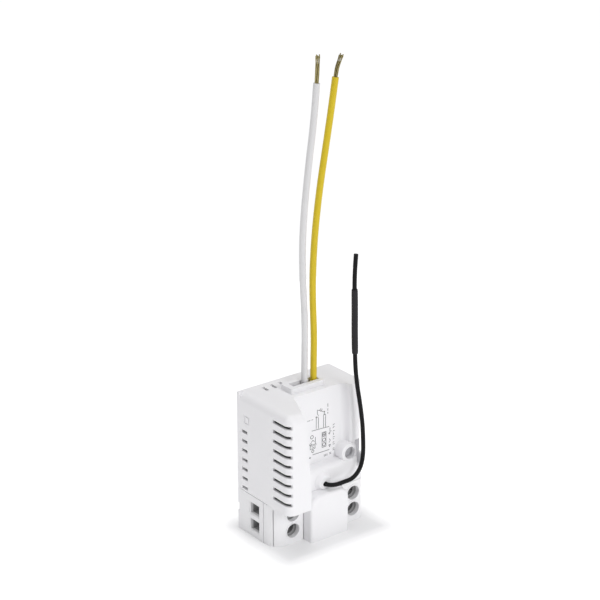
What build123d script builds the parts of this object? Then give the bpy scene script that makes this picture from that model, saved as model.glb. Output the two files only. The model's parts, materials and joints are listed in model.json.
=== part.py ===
from build123d import *
import math
import os

os.makedirs("parts", exist_ok=True)

# Smart relay module. Millimetres, +Z up, +X to the right along the front, +Y to the back.
# The origin is under the middle of the body. Places are given as a distance from the left
# side, from the front of the vented strip and from the base, and moved there by two helpers.

# Body
body_width = 32.4
body_depth = 24.2
body_height = 42.2
wall = 1.3
overrun = 1.0
seat_gap = 0.2
slide_gap = 0.1
side_round = 2.2
front_round = 2.5
corner_round = 2.6
left_corner_round = 4.0
edge_round = 0.5
back_round = 0.6

# Back cover
back_thickness = 1.6
back_notch_low = 5.5
back_notch_height = 2.5
back_notch_depth = 1.0
back_notch_width = 1.2
seam = body_depth - back_thickness

# Circuit board, which all the depths inside are taken from
board_thickness = 1.2
board_back_room = 1.1
board_edge_gap = 0.3
board_rim_gap = 1.1
block_back_gap = 0.1
hole_gap = 0.12
post_radius = 1.5
peg_radius = 0.7
post_gap = 0.05
peg_length = 1.0
post_inset = 4.4
pin_radius = 0.3
pin_overhang = 0.5
board_back = seam - board_back_room
board_front = board_back - board_thickness
board_low = wall + board_rim_gap
board_top = body_height - wall - board_rim_gap

# Terminal bay under the upper housing
bay_height = 12.8
terminal_depth = 13.4
terminal_pitch = 5.08
screw_height = 4.0
left_block_width = 10.2
right_block_width = 8.4
left_screw_place = 6.5
right_screw_inset = 4.4
right_screw_place = body_width - right_screw_inset
tower_front = board_front - terminal_depth

# Centre panel, the step above it, the label recess and the right rib
panel_reach = 3.5
panel_rise = 1.2
panel_corner = 3.3
panel_round = 0.8
step_height = 20.2
step_round = 1.2
part_room_depth = 8.3
strip_low_width = 7.7
strip_top_width = 5.3
strip_round = 1.0
strip_flank_start = 1.2
strip_wall = 1.5
recess_low_corner = 10.3
recess_top_corner = 9.8
rib_width = 4.7
rib_set_back = 1.0
rib_round = 0.9
rib_foot_round = 1.6
panel_front = tower_front - panel_reach
panel_left = left_block_width + seat_gap
panel_right = body_width - right_block_width - seat_gap
panel_width = panel_right - panel_left
panel_height = bay_height + panel_rise
part_room_front = board_front - part_room_depth
label_front = part_room_front - wall
rib_left = body_width - rib_width
rib_front = tower_front + rib_set_back

# Long vents round the near corner and short vents near the back
vent_pitch = 2.885
vent_low = 16.1
vent_top_margin = 1.8
vent_height = 1.0
vent_length = 7.2
vent_wrap = 1.4
short_vent_low = 13.35
short_vent_inset = 2.55
short_vent_length = 2.6
short_vent_height = 0.9
top_vent_left = 6.8
top_vent_count = 3
square_mark_size = 2.4
square_mark_inset = 3.65
square_mark_drop = 8.4
mark_line = 0.35
mark_depth = 0.2
short_vent_back = body_depth - short_vent_inset
square_mark_back = body_depth - square_mark_inset
square_mark_low = body_height - square_mark_drop
vent_count = int((body_height - vent_top_margin - vent_low) / vent_pitch) + 1
short_vent_count = int((square_mark_low - short_vent_low) / vent_pitch)

# Collar and slot for the two leads
collar_left = 10.5
collar_width = 11.6
collar_depth = 5.0
collar_height = 1.6
collar_round = 0.5
slot_left = 12.2
slot_width = 9.1
slot_depth = 2.2
lead_line = 15.1
collar_front = lead_line - collar_depth / 2
slot_front = lead_line - slot_depth / 2
white_lead_place = 16.9
yellow_lead_place = 20.1

# Antenna and the boss that it comes out of
antenna_place = 17.1
antenna_height = 15.6
antenna_boss_height = 16.0
antenna_boss_radius = 2.9
antenna_boss_tip_radius = 1.9
antenna_boss_reach = 1.2
antenna_boss_round = 0.4
antenna_radius = 0.62
antenna_hole_gap = 0.15
sleeve_wall = 0.22
sleeve_gap = 0.07

# Programming button
button_inset = 5.3
button_height = 21.7
button_boss_radius = 2.9
button_boss_set_back = 0.3
button_boss_round = 0.4
button_radius = 1.65
button_gap = 0.15
button_sink = 1.2
button_dish = 0.25
button_flange_radius = 2.2
button_flange_thickness = 0.6
button_guide_reach = 1.0
button_rest_gap = 0.05
button_stem_radius = 0.9
button_travel = 0.5
grip_recess_gap = 2.2
grip_recess_width = 2.1
grip_recess_drop = 4.7
grip_recess_height = 7.8
grip_recess_depth = 2.4
button_place = body_width - button_inset
button_boss_front = tower_front + button_boss_set_back
button_guide_back = part_room_front + button_guide_reach
grip_recess_left = button_place + grip_recess_gap
grip_recess_low = button_height - grip_recess_drop

# Rising-cage terminal
ring_radius = 2.45
ring_height = 0.25
mouth_radius = 2.15
mouth_depth = 1.9
lip_radius = 1.7
lip_depth = 0.3
head_radius = 1.8
head_length = 1.1
head_clearance = 0.08
head_side_gap = 0.08
head_slot_width = 0.6
head_slot_depth = 0.6
head_slot_turns = [25, 70, -40, 10]
shank_radius = 1.22
shank_end_gap = 0.15
thread_gap = 0.06
shank_hole_radius = 1.4
head_floor = 0.4
cage_travel = 2.25
cage_half_length = 2.6
cage_half_height = 2.1
cage_front_wall = 1.1
cage_rear_wall = 0.7
cage_side_wall = 0.5
cage_start_gap = 0.05
cage_ridge = 0.2
cage_ridge_count = 5
bar_thickness = 0.7
bar_gap = 0.15
bar_side_gap = 0.1
bar_tip_inset = 0.7
wire_space = 3.3
tail_offset = 0.2
tail_thickness = 0.45
tail_half_height = 1.0
tail_overhang = 0.5
tail_gap = 0.15
entry_lead = 0.1
entry_depth = 4.0
entry_height = 3.2
entry_drop = 0.5
entry_bevel = 0.4
groove_width = 0.35
front_groove_inset = 1.4
front_groove_reach = 1.5
front_groove_top = 11.5
plate_groove_inset = 4.75
plate_groove_reach = 0.35

# Snap hooks of the back cover
hook_width = 4.0
hook_length = 4.2
hook_thickness = 0.75
hook_barb = 0.4
hook_barb_length = 1.2
hook_gap = 0.12
hook_inset = 4.6
top_hook_places = [hook_inset, body_width - hook_inset]
low_hook_place = panel_left + panel_width / 2

# Relay
relay_left = 1.6
relay_width = 5.7
relay_low = 15.5
relay_length = 17.5
relay_height = 11.7
relay_wall = 0.45
relay_base_thickness = 0.9
relay_base_gap = 0.05
relay_pin_shares = [0.08, 0.26, 0.51, 0.75, 0.91]
coil_rise = 5.2
coil_low = 1.9
coil_length = 8.6
coil_radius = 2.15
coil_flange_radius = 2.35
coil_flange = 0.5
bobbin_wall = 0.3
core_radius = 0.8
core_gap = 0.05
core_overhang = 0.35
yoke_thickness = 0.8
yoke_gap = 0.12
yoke_half_width = 2.0
yoke_reach = 1.6
armature_thickness = 0.7
armature_gap = 0.4
armature_pivot_gap = 0.08
armature_reach = 1.2
blade_thickness = 0.25
blade_length = 4.2
blade_half_width = 1.2
contact_radius = 0.7
contact_height = 0.45
contact_gap = 0.35
contact_plate = 0.4

# Parts on the board, in the room between the relay and the push switch
switch_size = 5.8
switch_height = 3.4
switch_gap = 0.7
plunger_radius = 1.7
plunger_length = 1.3
plunger_sink = 0.7
part_gap = 0.1
part_space = 0.8
part_room_left = relay_left + relay_width + part_space
part_room_width = button_place - switch_size / 2 - switch_gap - part_room_left
varistor_place_share = 0.5065
fuse_place_share = 0.8312
film_place_share = 0.0195
inductor_place_share = 0.2532
chip_place_share = 0.6948
crystal_place_share = 0.7987
light_place_share = 0.9416
can_radius = 3.5
can_pin_spread = 1.2
can_low = 20.0
can_length = 9.7
can_round = 0.5
can_groove = 0.2
can_pin_drop = 0.8
film_rise = 1.3
film_top_gap = 0.2
film_width = 5.5
film_height = 7.2
film_round = 0.5
varistor_radius = 3.4
varistor_thickness = 2.6
varistor_height = 26.0
varistor_round = 0.8
varistor_rise = 0.4
varistor_pin_spread = 2.4
fuse_radius = 1.3
fuse_low = 23.0
fuse_length = 6.0
fuse_cap_length = 1.3
fuse_cap_step = 0.12
fuse_pin_reach = 0.7
inductor_radius = 2.2
inductor_waist = 1.5
inductor_length = 5.2
inductor_flange = 0.9
inductor_height = 16.6
inductor_pin_spread = 1.2
chip_width = 3.6
chip_low = 17.2
chip_length = 4.8
chip_thickness = 1.4
chip_leg_count = 4
chip_leg_pitch = 1.2
chip_leg_width = 0.4
chip_leg_reach = 0.8
chip_leg_thickness = 0.2
controller_width = 4.3
controller_inset = 2.5
controller_gap = 0.4
controller_low = 14.1
controller_thickness = 0.9
radio_width = 6.0
radio_inset = 2.7
radio_rise = 2.0
radio_top_gap = 0.6
radio_board_thickness = 0.8
shield_height = 2.0
shield_inset = 0.4
shield_wall = 0.2
radio_bare_length = 3.2
crystal_width = 3.2
crystal_low = 14.2
crystal_length = 2.4
crystal_thickness = 0.9
light_rise = 2.6
light_width = 0.9
light_length = 1.6
light_thickness = 0.7
header_low = 30.3
header_side = 2.5
header_top_gap = 1.4
header_front_gap = 0.5
header_round = 0.4

can_place = part_room_left + can_radius
varistor_left = part_room_left + part_room_width * varistor_place_share
fuse_place = part_room_left + part_room_width * fuse_place_share
film_left = part_room_left + part_room_width * film_place_share
film_low = can_low + can_length + film_rise
film_length = board_top - film_top_gap - film_low
header_left = white_lead_place - header_side
header_width = yellow_lead_place - white_lead_place + 2 * header_side
header_height = board_top - header_top_gap - header_low
header_front = part_room_front + header_front_gap
inductor_place = part_room_left + part_room_width * inductor_place_share
chip_left = part_room_left + part_room_width * chip_place_share
crystal_left = part_room_left + part_room_width * crystal_place_share
light_left = part_room_left + part_room_width * light_place_share
light_low = chip_low + chip_length + light_rise
controller_left = button_place - controller_inset
controller_size = button_height - switch_size / 2 - controller_gap - controller_low
radio_left = button_place - radio_inset
radio_low = button_height + switch_size / 2 + radio_rise
radio_length = board_top - radio_top_gap - radio_low
shield_length = radio_length - radio_bare_length - shield_inset

# Leads and antenna: points from the left side, the front of the strip and the base
lead_radius = 0.93
strand_radius = 0.52
run_share = 0.45
white_route = [
    (16.9, 15.1, 38.4),
    (16.9, 15.1, 48.6),
    (17.15, 15.1, 60.5),
    (16.1, 15.1, 77.0),
    (16.4, 15.15, 89.5),
    (18.1, 15.1, 105.0),
    (20.1, 15.05, 118.6),
    (20.87, 15.1, 127.8),
]
white_strand_route = [(20.87, 15.1, 127.8), (21.05, 15.1, 130.0), (21.1, 15.05, 133.0), (21.2, 15.0, 135.3)]
yellow_route = [
    (20.1, 15.1, 38.4),
    (20.1, 15.1, 49.0),
    (20.3, 15.1, 56.5),
    (19.6, 15.1, 70.5),
    (20.2, 15.15, 84.0),
    (21.8, 15.1, 97.5),
    (24.2, 15.05, 111.0),
    (26.1, 15.1, 121.5),
    (27.2, 15.1, 128.5),
]
yellow_strand_route = [(27.2, 15.1, 128.5), (27.55, 15.1, 130.7), (28.4, 15.05, 132.7), (29.2, 15.0, 134.4)]
antenna_route = [
    (17.1, 20.3, 15.6),
    (17.1, 5.1, 15.6),
    (18.7, 3.5, 15.65),
    (21.6, 3.42, 15.7),
    (25.9, 3.5, 15.75),
    (29.2, 3.8, 19.6),
    (29.35, 4.25, 29.0),
    (28.9, 4.85, 36.0),
    (27.3, 5.4, 46.0),
    (27.15, 5.8, 57.0),
    (27.35, 6.15, 67.0),
    (27.2, 6.3, 75.5),
    (27.7, 6.3, 81.3),
]
sleeve_start_count = 9
sleeve_corner_count = 2
sleeve_first_share = 0.58
sleeve_last_share = 0.53


def across(distance):
    return distance - body_width / 2


def behind(distance):
    return distance - body_depth / 2


def block(x_low, x_high, y_low, y_high, z_low, z_high, mode=Mode.ADD):
    with Locations((across((x_low + x_high) / 2), behind((y_low + y_high) / 2), z_low)):
        Box(
            abs(x_high - x_low),
            y_high - y_low,
            z_high - z_low,
            align=(Align.CENTER, Align.CENTER, Align.MIN),
            mode=mode,
        )


def drawn(sketch_plane, radius, reach, mode):
    with BuildSketch(sketch_plane) as circle:
        Circle(radius)
    extrude(circle.sketch, amount=reach, mode=mode)


def rod(x_place, z_place, y_low, y_high, radius, mode=Mode.ADD):
    # runs from front to back
    start = Plane((across(x_place), behind(y_low), z_place), x_dir=(1, 0, 0), z_dir=(0, 1, 0))
    drawn(start, radius, y_high - y_low, mode)


def pillar(x_place, y_place, z_low, z_high, radius, mode=Mode.ADD):
    # runs upwards
    drawn(Plane((across(x_place), behind(y_place), z_low)), radius, z_high - z_low, mode)


def disc(x_low, x_high, y_place, z_place, radius, mode=Mode.ADD):
    # runs from left to right
    start = Plane((across(x_low), behind(y_place), z_place), x_dir=(0, 1, 0), z_dir=(1, 0, 0))
    drawn(start, radius, x_high - x_low, mode)


def plan(points):
    return [(across(x), behind(y)) for x, y in points]


def take_corner(x_place, y_place, side, radius, z_low, z_high):
    # rounds an upright front corner, side is -1 on the left and 1 on the right
    reach = radius + overrun
    with BuildSketch(Plane.XY.offset(z_low)) as corner:
        middle_x = across(x_place) + side * (overrun - radius) / 2
        with Locations((middle_x, behind(y_place) + (radius - overrun) / 2)):
            Rectangle(reach, reach)
        with Locations((across(x_place) - side * radius, behind(y_place) + radius)):
            Circle(radius, mode=Mode.SUBTRACT)
    extrude(corner.sketch, amount=z_high - z_low, mode=Mode.SUBTRACT)


def pin(x_place, z_place, y_low):
    rod(x_place, z_place, y_low, board_back + pin_overhang, pin_radius)


def keep(piece, name):
    piece.part.label = name
    export_step(piece.part, f"parts/{name}.step")


chamber_front = tower_front + mouth_depth + lip_depth
head_front = chamber_front + head_clearance
head_back = head_front + head_length
chamber_back = head_back + head_clearance
cage_room_front = chamber_back + head_floor
cage_front = cage_room_front + cage_start_gap + cage_travel
bar_front = cage_front + cage_front_wall + bar_gap
bar_back = bar_front + bar_thickness
cage_back = bar_back + wire_space + cage_rear_wall
block_back = board_front - block_back_gap
block_height = bay_height - seat_gap
screw_heights = [screw_height, screw_height + terminal_pitch]
entry_front = bar_front - entry_lead
front_groove = tower_front + front_groove_inset
plate_groove = tower_front + plate_groove_inset


def recess(z_place, strip_width, corner_place):
    # outline of what is cut away in front of the label plane and the right rib
    with BuildSketch(Plane.XY.offset(z_place)) as outline:
        with BuildLine():
            Polyline(
                *plan(
                    [
                        (strip_width, -overrun),
                        (strip_width, strip_flank_start),
                        (corner_place, label_front),
                        (rib_left, label_front),
                        (rib_left, rib_front),
                        (body_width + overrun, rib_front),
                        (body_width + overrun, -overrun),
                    ]
                ),
                close=True,
            )
        make_face()
        for x_place, y_place, radius in [
            (strip_width, strip_flank_start, strip_round),
            (rib_left, label_front, rib_foot_round),
            (rib_left, rib_front, rib_round),
        ]:
            place = Vector(across(x_place), behind(y_place), z_place)
            fillet(outline.vertices().sort_by_distance(place)[0], radius)
    return outline.sketch


def strip_room(z_place, strip_width, corner_place):
    # outline of the space behind the vented strip
    with BuildSketch(Plane.XY.offset(z_place)) as outline:
        with BuildLine():
            Polyline(
                *plan(
                    [
                        (strip_wall, strip_wall),
                        (strip_width - strip_wall, strip_wall),
                        (corner_place - strip_wall, label_front + wall / 2),
                        (corner_place - strip_wall, part_room_front + overrun),
                        (strip_wall, part_room_front + overrun),
                    ]
                ),
                close=True,
            )
        make_face()
    return outline.sketch


# Front cover: one moulded shell with the vented strip, the label recess, the centre panel
# and the right rib. It is open to the back.
with BuildPart() as front_cover:
    block(0, body_width, 0, seam, bay_height, body_height)
    top_front = front_cover.edges().filter_by(Axis.X).group_by(Axis.Z)[-1].sort_by(Axis.Y)[0]
    fillet(top_front, front_round)
    left_edges = front_cover.faces().sort_by(Axis.X)[0].edges().filter_by(
        lambda edge: edge.center().Z > bay_height + overrun and edge.center().Y < behind(seam) - overrun
    )
    fillet(left_edges, side_round)
    loft(
        [
            recess(step_height, strip_low_width, recess_low_corner),
            recess(body_height + overrun, strip_top_width, recess_top_corner),
        ],
        ruled=True,
        mode=Mode.SUBTRACT,
    )
    # below the label plane the step stands level with the terminals
    block(strip_low_width, body_width + overrun, -overrun, tower_front, bay_height - overrun,
          step_height + edge_round / 5, mode=Mode.SUBTRACT)
    # the step's shoulder is soft
    shoulder = Plane.YZ.offset(across(recess_low_corner))
    with BuildSketch(shoulder) as shoulder_outline:
        corner_reach = step_round + overrun
        with Locations((behind(tower_front) + step_round / 2 - overrun / 2, step_height - step_round / 2 + overrun / 2)):
            Rectangle(corner_reach, corner_reach)
        with Locations((behind(tower_front) + step_round, step_height - step_round)):
            Circle(step_round, mode=Mode.SUBTRACT)
    extrude(shoulder_outline.sketch, amount=rib_left - recess_low_corner, mode=Mode.SUBTRACT)
    take_corner(body_width, tower_front, 1, corner_round, bay_height - overrun, step_height)
    take_corner(body_width, rib_front, 1, corner_round, step_height, body_height + overrun)

    # the centre panel, rounded at its upper corners
    with BuildSketch(Plane.XZ.offset(-behind(panel_front))) as panel_outline:
        with Locations((across(panel_left + panel_width / 2), 0)):
            Rectangle(panel_width, panel_height, align=(Align.CENTER, Align.MIN))
        fillet(panel_outline.vertices().group_by(Axis.Y)[-1], panel_corner)
    extrude(panel_outline.sketch, amount=panel_front - seam)
    panel_edges = front_cover.edges().filter_by(
        lambda edge: abs(edge.center().Y - behind(panel_front)) < edge_round / 10
        and edge.center().Z > edge_round
        and across(panel_left) - edge_round < edge.center().X < across(panel_right) + edge_round
    )
    fillet(panel_edges, panel_round)

    # inside of the shell
    block(wall, body_width - wall, part_room_front, seam + overrun, bay_height + wall,
          body_height - wall, mode=Mode.SUBTRACT)
    loft(
        [
            strip_room(bay_height + wall, strip_low_width, recess_low_corner),
            strip_room(step_height, strip_low_width, recess_low_corner),
            strip_room(body_height - front_round, strip_top_width, recess_top_corner),
        ],
        ruled=True,
        mode=Mode.SUBTRACT,
    )
    block(recess_low_corner, body_width - corner_round, tower_front + strip_wall, part_room_front + overrun,
          bay_height + wall, step_height - wall, mode=Mode.SUBTRACT)
    block(rib_left + wall, body_width - wall, rib_front + strip_wall, part_room_front + overrun,
          button_height + grip_recess_height / 2, body_height - wall, mode=Mode.SUBTRACT)
    block(panel_left + wall, panel_right - wall, panel_front + wall, seam + overrun, wall,
          bay_height - overrun, mode=Mode.SUBTRACT)
    block(panel_left + wall, panel_right - wall, part_room_front, seam + overrun, bay_height - 2 * overrun,
          bay_height + 2 * wall, mode=Mode.SUBTRACT)
    block(wall, body_width - wall, block_back, seam + overrun, wall, body_height - wall, mode=Mode.SUBTRACT)

    # long vents, which wrap round the near corner
    for index in range(vent_count):
        low = vent_low + index * vent_pitch - vent_height / 2
        block(-overrun, strip_wall + edge_round, strip_wall, vent_length, low, low + vent_height,
              mode=Mode.SUBTRACT)
        block(-overrun, vent_wrap, -overrun, strip_wall + edge_round, low, low + vent_height,
              mode=Mode.SUBTRACT)
    # short vents near the back
    for index in range(short_vent_count):
        low = short_vent_low + index * vent_pitch
        block(-overrun, wall + overrun, short_vent_back - short_vent_length, short_vent_back,
              low, low + short_vent_height, mode=Mode.SUBTRACT)
    # short vents in the top
    for index in range(top_vent_count):
        left = top_vent_left + index * vent_pitch
        block(left, left + short_vent_height, short_vent_back - short_vent_length, short_vent_back,
              body_height - wall - overrun, body_height + overrun, mode=Mode.SUBTRACT)
    # a plain square outline sunk in the side
    mark_front = square_mark_back - square_mark_size
    mark_top = square_mark_low + square_mark_size
    block(-overrun, mark_depth, mark_front, square_mark_back, square_mark_low, mark_top, mode=Mode.SUBTRACT)
    block(0, wall, mark_front + mark_line, square_mark_back - mark_line, square_mark_low + mark_line,
          mark_top - mark_line)

    # collar and slot for the leads
    with BuildSketch(Plane.XY.offset(body_height - edge_round)) as collar:
        with Locations((across(collar_left + collar_width / 2), behind(collar_front + collar_depth / 2))):
            RectangleRounded(collar_width, collar_depth, collar_round)
    extrude(collar.sketch, amount=collar_height + edge_round)
    block(slot_left, slot_left + slot_width, slot_front, slot_front + slot_depth, body_height - wall - overrun,
          body_height + collar_height + overrun, mode=Mode.SUBTRACT)

    # sloping boss for the antenna, with its hole
    antenna_boss_front = tower_front - antenna_boss_reach
    boss_outlines = []
    for y_place, radius in [(tower_front, antenna_boss_radius), (antenna_boss_front, antenna_boss_tip_radius)]:
        middle = (across(antenna_place), behind(y_place), antenna_boss_height)
        with BuildSketch(Plane(middle, x_dir=(1, 0, 0), z_dir=(0, -1, 0))) as boss_outline:
            Circle(radius)
        boss_outlines.append(boss_outline.sketch)
    loft(boss_outlines)
    boss_rim = front_cover.edges().filter_by(GeomType.CIRCLE).sort_by_distance(
        Vector(across(antenna_place), behind(antenna_boss_front), antenna_boss_height + antenna_boss_tip_radius)
    )[0]
    fillet(boss_rim, antenna_boss_round)
    rod(antenna_place, antenna_height, antenna_boss_front - overrun, part_room_front + overrun,
        antenna_radius + antenna_hole_gap, mode=Mode.SUBTRACT)

    # guide of the programming button and the grip recess beside it
    rod(button_place, button_height, button_boss_front, button_guide_back, button_boss_radius)
    boss_rim = front_cover.edges().filter_by(GeomType.CIRCLE).sort_by_distance(
        Vector(across(button_place), behind(button_boss_front), button_height + button_boss_radius)
    )[0]
    fillet(boss_rim, button_boss_round)
    rod(button_place, button_height, button_boss_front - overrun, button_guide_back + overrun,
        button_radius + button_gap, mode=Mode.SUBTRACT)
    block(grip_recess_left, grip_recess_left + grip_recess_width, 0, rib_front + grip_recess_depth,
          grip_recess_low, grip_recess_low + grip_recess_height, mode=Mode.SUBTRACT)

    # catches for the snap hooks
    catch_front = seam - hook_length - hook_gap
    catch_back = seam - hook_length + hook_barb_length + hook_gap
    catch_reach = hook_width / 2 + hook_gap
    for x_place in top_hook_places:
        block(x_place - catch_reach, x_place + catch_reach, catch_front, catch_back,
              body_height - wall - overrun, body_height - wall + hook_barb, mode=Mode.SUBTRACT)
    block(low_hook_place - catch_reach, low_hook_place + catch_reach, catch_front, catch_back,
          wall - hook_barb, wall + overrun, mode=Mode.SUBTRACT)
keep(front_cover, "front_cover")


# Back cover with its posts, pegs and snap hooks
peg_places = [
    (post_inset, board_low + post_inset / 2),
    (body_width - post_inset, board_low + post_inset / 2),
    (post_inset, board_top - post_inset),
    (body_width - post_inset, board_top - post_inset),
]
with BuildPart() as back_cover:
    block(0, body_width, seam, body_depth, 0, body_height)
    fillet(back_cover.faces().sort_by(Axis.Y)[-1].edges(), back_round)
    block(-overrun, back_notch_width, body_depth - back_notch_depth, body_depth + overrun, back_notch_low,
          back_notch_low + back_notch_height, mode=Mode.SUBTRACT)
    for x_place, z_place in peg_places:
        rod(x_place, z_place, board_back + post_gap, seam, post_radius)
        rod(x_place, z_place, board_back - peg_length, seam, peg_radius)
    for x_place in top_hook_places:
        top = body_height - wall - hook_gap
        block(x_place - hook_width / 2, x_place + hook_width / 2, seam - hook_length, seam,
              top - hook_thickness, top)
        block(x_place - hook_width / 2, x_place + hook_width / 2, seam - hook_length,
              seam - hook_length + hook_barb_length, top - hook_thickness, top + hook_barb)
    low = wall + hook_gap
    block(low_hook_place - hook_width / 2, low_hook_place + hook_width / 2, seam - hook_length, seam, low,
          low + hook_thickness)
    block(low_hook_place - hook_width / 2, low_hook_place + hook_width / 2, seam - hook_length,
          seam - hook_length + hook_barb_length, low - hook_barb, low + hook_thickness)
keep(back_cover, "back_cover")


# Terminal blocks: outer_side is where the wires go in, inward is 1 on the left and -1 on the right
def terminal_block(outer_side, inner_side, screw_place, inward, corner):
    half_room = cage_half_length + slide_gap
    block(outer_side, inner_side, tower_front, block_back, 0, block_height)
    block(outer_side, outer_side + inward * wall, block_back - overrun, seam, 0, block_height)
    block(outer_side, inner_side, block_back - overrun, seam, 0, wall)
    take_corner(outer_side, tower_front, -inward, corner, -overrun, block_height + overrun)
    # upright grooves that set off the side plate and the tower
    block(outer_side - inward * overrun, outer_side + inward * front_groove_reach, front_groove,
          front_groove + groove_width, -overrun, front_groove_top, mode=Mode.SUBTRACT)
    block(outer_side - inward * overrun, outer_side + inward * plate_groove_reach, plate_groove,
          plate_groove + groove_width, -overrun, block_height + overrun, mode=Mode.SUBTRACT)
    tail_start = screw_place + inward * (cage_half_length + tail_offset)
    tail_end = tail_start + inward * (tail_thickness + slide_gap)
    for z_place in screw_heights:
        rod(screw_place, z_place, tower_front - ring_height, tower_front + overrun, ring_radius)
    for z_place in screw_heights:
        rod(screw_place, z_place, tower_front - overrun, tower_front + mouth_depth, mouth_radius,
            mode=Mode.SUBTRACT)
        rod(screw_place, z_place, tower_front, chamber_front, lip_radius, mode=Mode.SUBTRACT)
        rod(screw_place, z_place, chamber_front, chamber_back, head_radius + head_side_gap,
            mode=Mode.SUBTRACT)
        rod(screw_place, z_place, chamber_front, cage_room_front + overrun, shank_hole_radius,
            mode=Mode.SUBTRACT)
        half_height = cage_half_height + slide_gap
        block(screw_place - half_room, screw_place + half_room, cage_room_front, cage_back + seat_gap,
              z_place - half_height, z_place + half_height, mode=Mode.SUBTRACT)
        half_tail = tail_half_height + tail_gap
        block(screw_place, tail_end, bar_front - tail_gap, block_back + overrun,
              z_place - half_tail, z_place + half_tail, mode=Mode.SUBTRACT)
        # funnel and passage for the wire
        entry_low = z_place - entry_drop - entry_height / 2
        block(outer_side - inward * overrun, screw_place, entry_front, entry_front + entry_depth,
              entry_low, entry_low + entry_height, mode=Mode.SUBTRACT)


left_outer = 0
right_outer = body_width
with BuildPart() as left_terminal_block:
    terminal_block(left_outer, left_block_width, left_screw_place, 1, left_corner_round)
    pierced = left_terminal_block.faces().filter_by(Axis.X).filter_by(lambda face: face.inner_wires())
    chamfer(pierced.sort_by(Axis.X)[0].inner_wires().edges(), entry_bevel)
keep(left_terminal_block, "left_terminal_block")

with BuildPart() as right_terminal_block:
    terminal_block(right_outer, body_width - right_block_width, right_screw_place, -1, corner_round)
    pierced = right_terminal_block.faces().filter_by(Axis.X).filter_by(lambda face: face.inner_wires())
    chamfer(pierced.sort_by(Axis.X)[-1].inner_wires().edges(), entry_bevel)
keep(right_terminal_block, "right_terminal_block")


# Four terminals, each a cage, a captive screw and a contact bar with its tail in the board
terminals = [
    ("left_low", left_screw_place, screw_heights[0], 1),
    ("left_high", left_screw_place, screw_heights[1], 1),
    ("right_low", right_screw_place, screw_heights[0], -1),
    ("right_high", right_screw_place, screw_heights[1], -1),
]
for (name, x_place, z_place, inward), slot_turn in zip(terminals, head_slot_turns):
    with BuildPart() as cage:
        block(x_place - cage_half_length, x_place + cage_half_length, cage_front, cage_back,
              z_place - cage_half_height, z_place + cage_half_height)
        inner_height = cage_half_height - cage_side_wall
        block(x_place - cage_half_length - overrun, x_place + cage_half_length + overrun,
              cage_front + cage_front_wall, cage_back - cage_rear_wall, z_place - inner_height,
              z_place + inner_height, mode=Mode.SUBTRACT)
        rod(x_place, z_place, cage_front - overrun, cage_front + cage_front_wall + overrun / 2,
            shank_radius + thread_gap, mode=Mode.SUBTRACT)
        # ridges that bite on the wire
        ridge_pitch = 2 * cage_half_length / cage_ridge_count
        for index in range(cage_ridge_count):
            ridge = x_place - cage_half_length + (index + 1 / 2) * ridge_pitch
            block(ridge - ridge_pitch / 4, ridge + ridge_pitch / 4, cage_back - cage_rear_wall - cage_ridge,
                  cage_back - cage_rear_wall, z_place - inner_height, z_place + inner_height)
    keep(cage, f"cage_{name}")

    with BuildPart() as screw:
        rod(x_place, z_place, head_front, head_back, head_radius)
        rod(x_place, z_place, head_back, bar_front - shank_end_gap, shank_radius)
        with Locations(Location((across(x_place), behind(head_front), z_place), (0, slot_turn, 0))):
            Box(2 * head_radius + overrun, 2 * head_slot_depth, head_slot_width, mode=Mode.SUBTRACT)
    keep(screw, f"screw_{name}")

    with BuildPart() as contact_bar:
        bar_half_height = cage_half_height - cage_side_wall - bar_side_gap
        tail_start = x_place + inward * (cage_half_length + tail_offset)
        tail_end = tail_start + inward * tail_thickness
        block(x_place - inward * (cage_half_length - bar_tip_inset), x_place + inward * cage_half_length,
              bar_front, bar_back, z_place - bar_half_height, z_place + bar_half_height)
        block(x_place, tail_end, bar_front, bar_back, z_place - tail_half_height, z_place + tail_half_height)
        block(tail_start, tail_end, bar_front, board_back + tail_overhang, z_place - tail_half_height,
              z_place + tail_half_height)
    keep(contact_bar, f"contact_{name}")


# Relay that stands on the board behind the vents
relay_right = relay_left + relay_width
relay_front = board_front - relay_height
relay_top = relay_low + relay_length
relay_middle = relay_left + relay_width / 2
coil_line = board_front - coil_rise
coil_start = relay_low + coil_low
coil_end = coil_start + coil_length
yoke_front = coil_line - coil_flange_radius - yoke_gap - yoke_thickness
armature_low = coil_end + core_overhang + armature_gap
relay_base_front = board_front - relay_base_thickness

with BuildPart() as relay_case:
    block(relay_left, relay_right, relay_front, board_front - relay_base_gap, relay_low, relay_top)
    fillet(relay_case.edges().filter_by(Axis.Y), relay_wall)
    block(relay_left + relay_wall, relay_right - relay_wall, relay_front + relay_wall, board_front + overrun,
          relay_low + relay_wall, relay_top - relay_wall, mode=Mode.SUBTRACT)
keep(relay_case, "relay_case")

with BuildPart() as relay_base:
    inset = relay_wall + relay_base_gap
    block(relay_left + inset, relay_right - inset, relay_base_front, board_front, relay_low + inset,
          relay_top - inset)
    for share in relay_pin_shares:
        pin(relay_middle, relay_low + relay_length * share, board_front - overrun / 2)
keep(relay_base, "relay_base")

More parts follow.
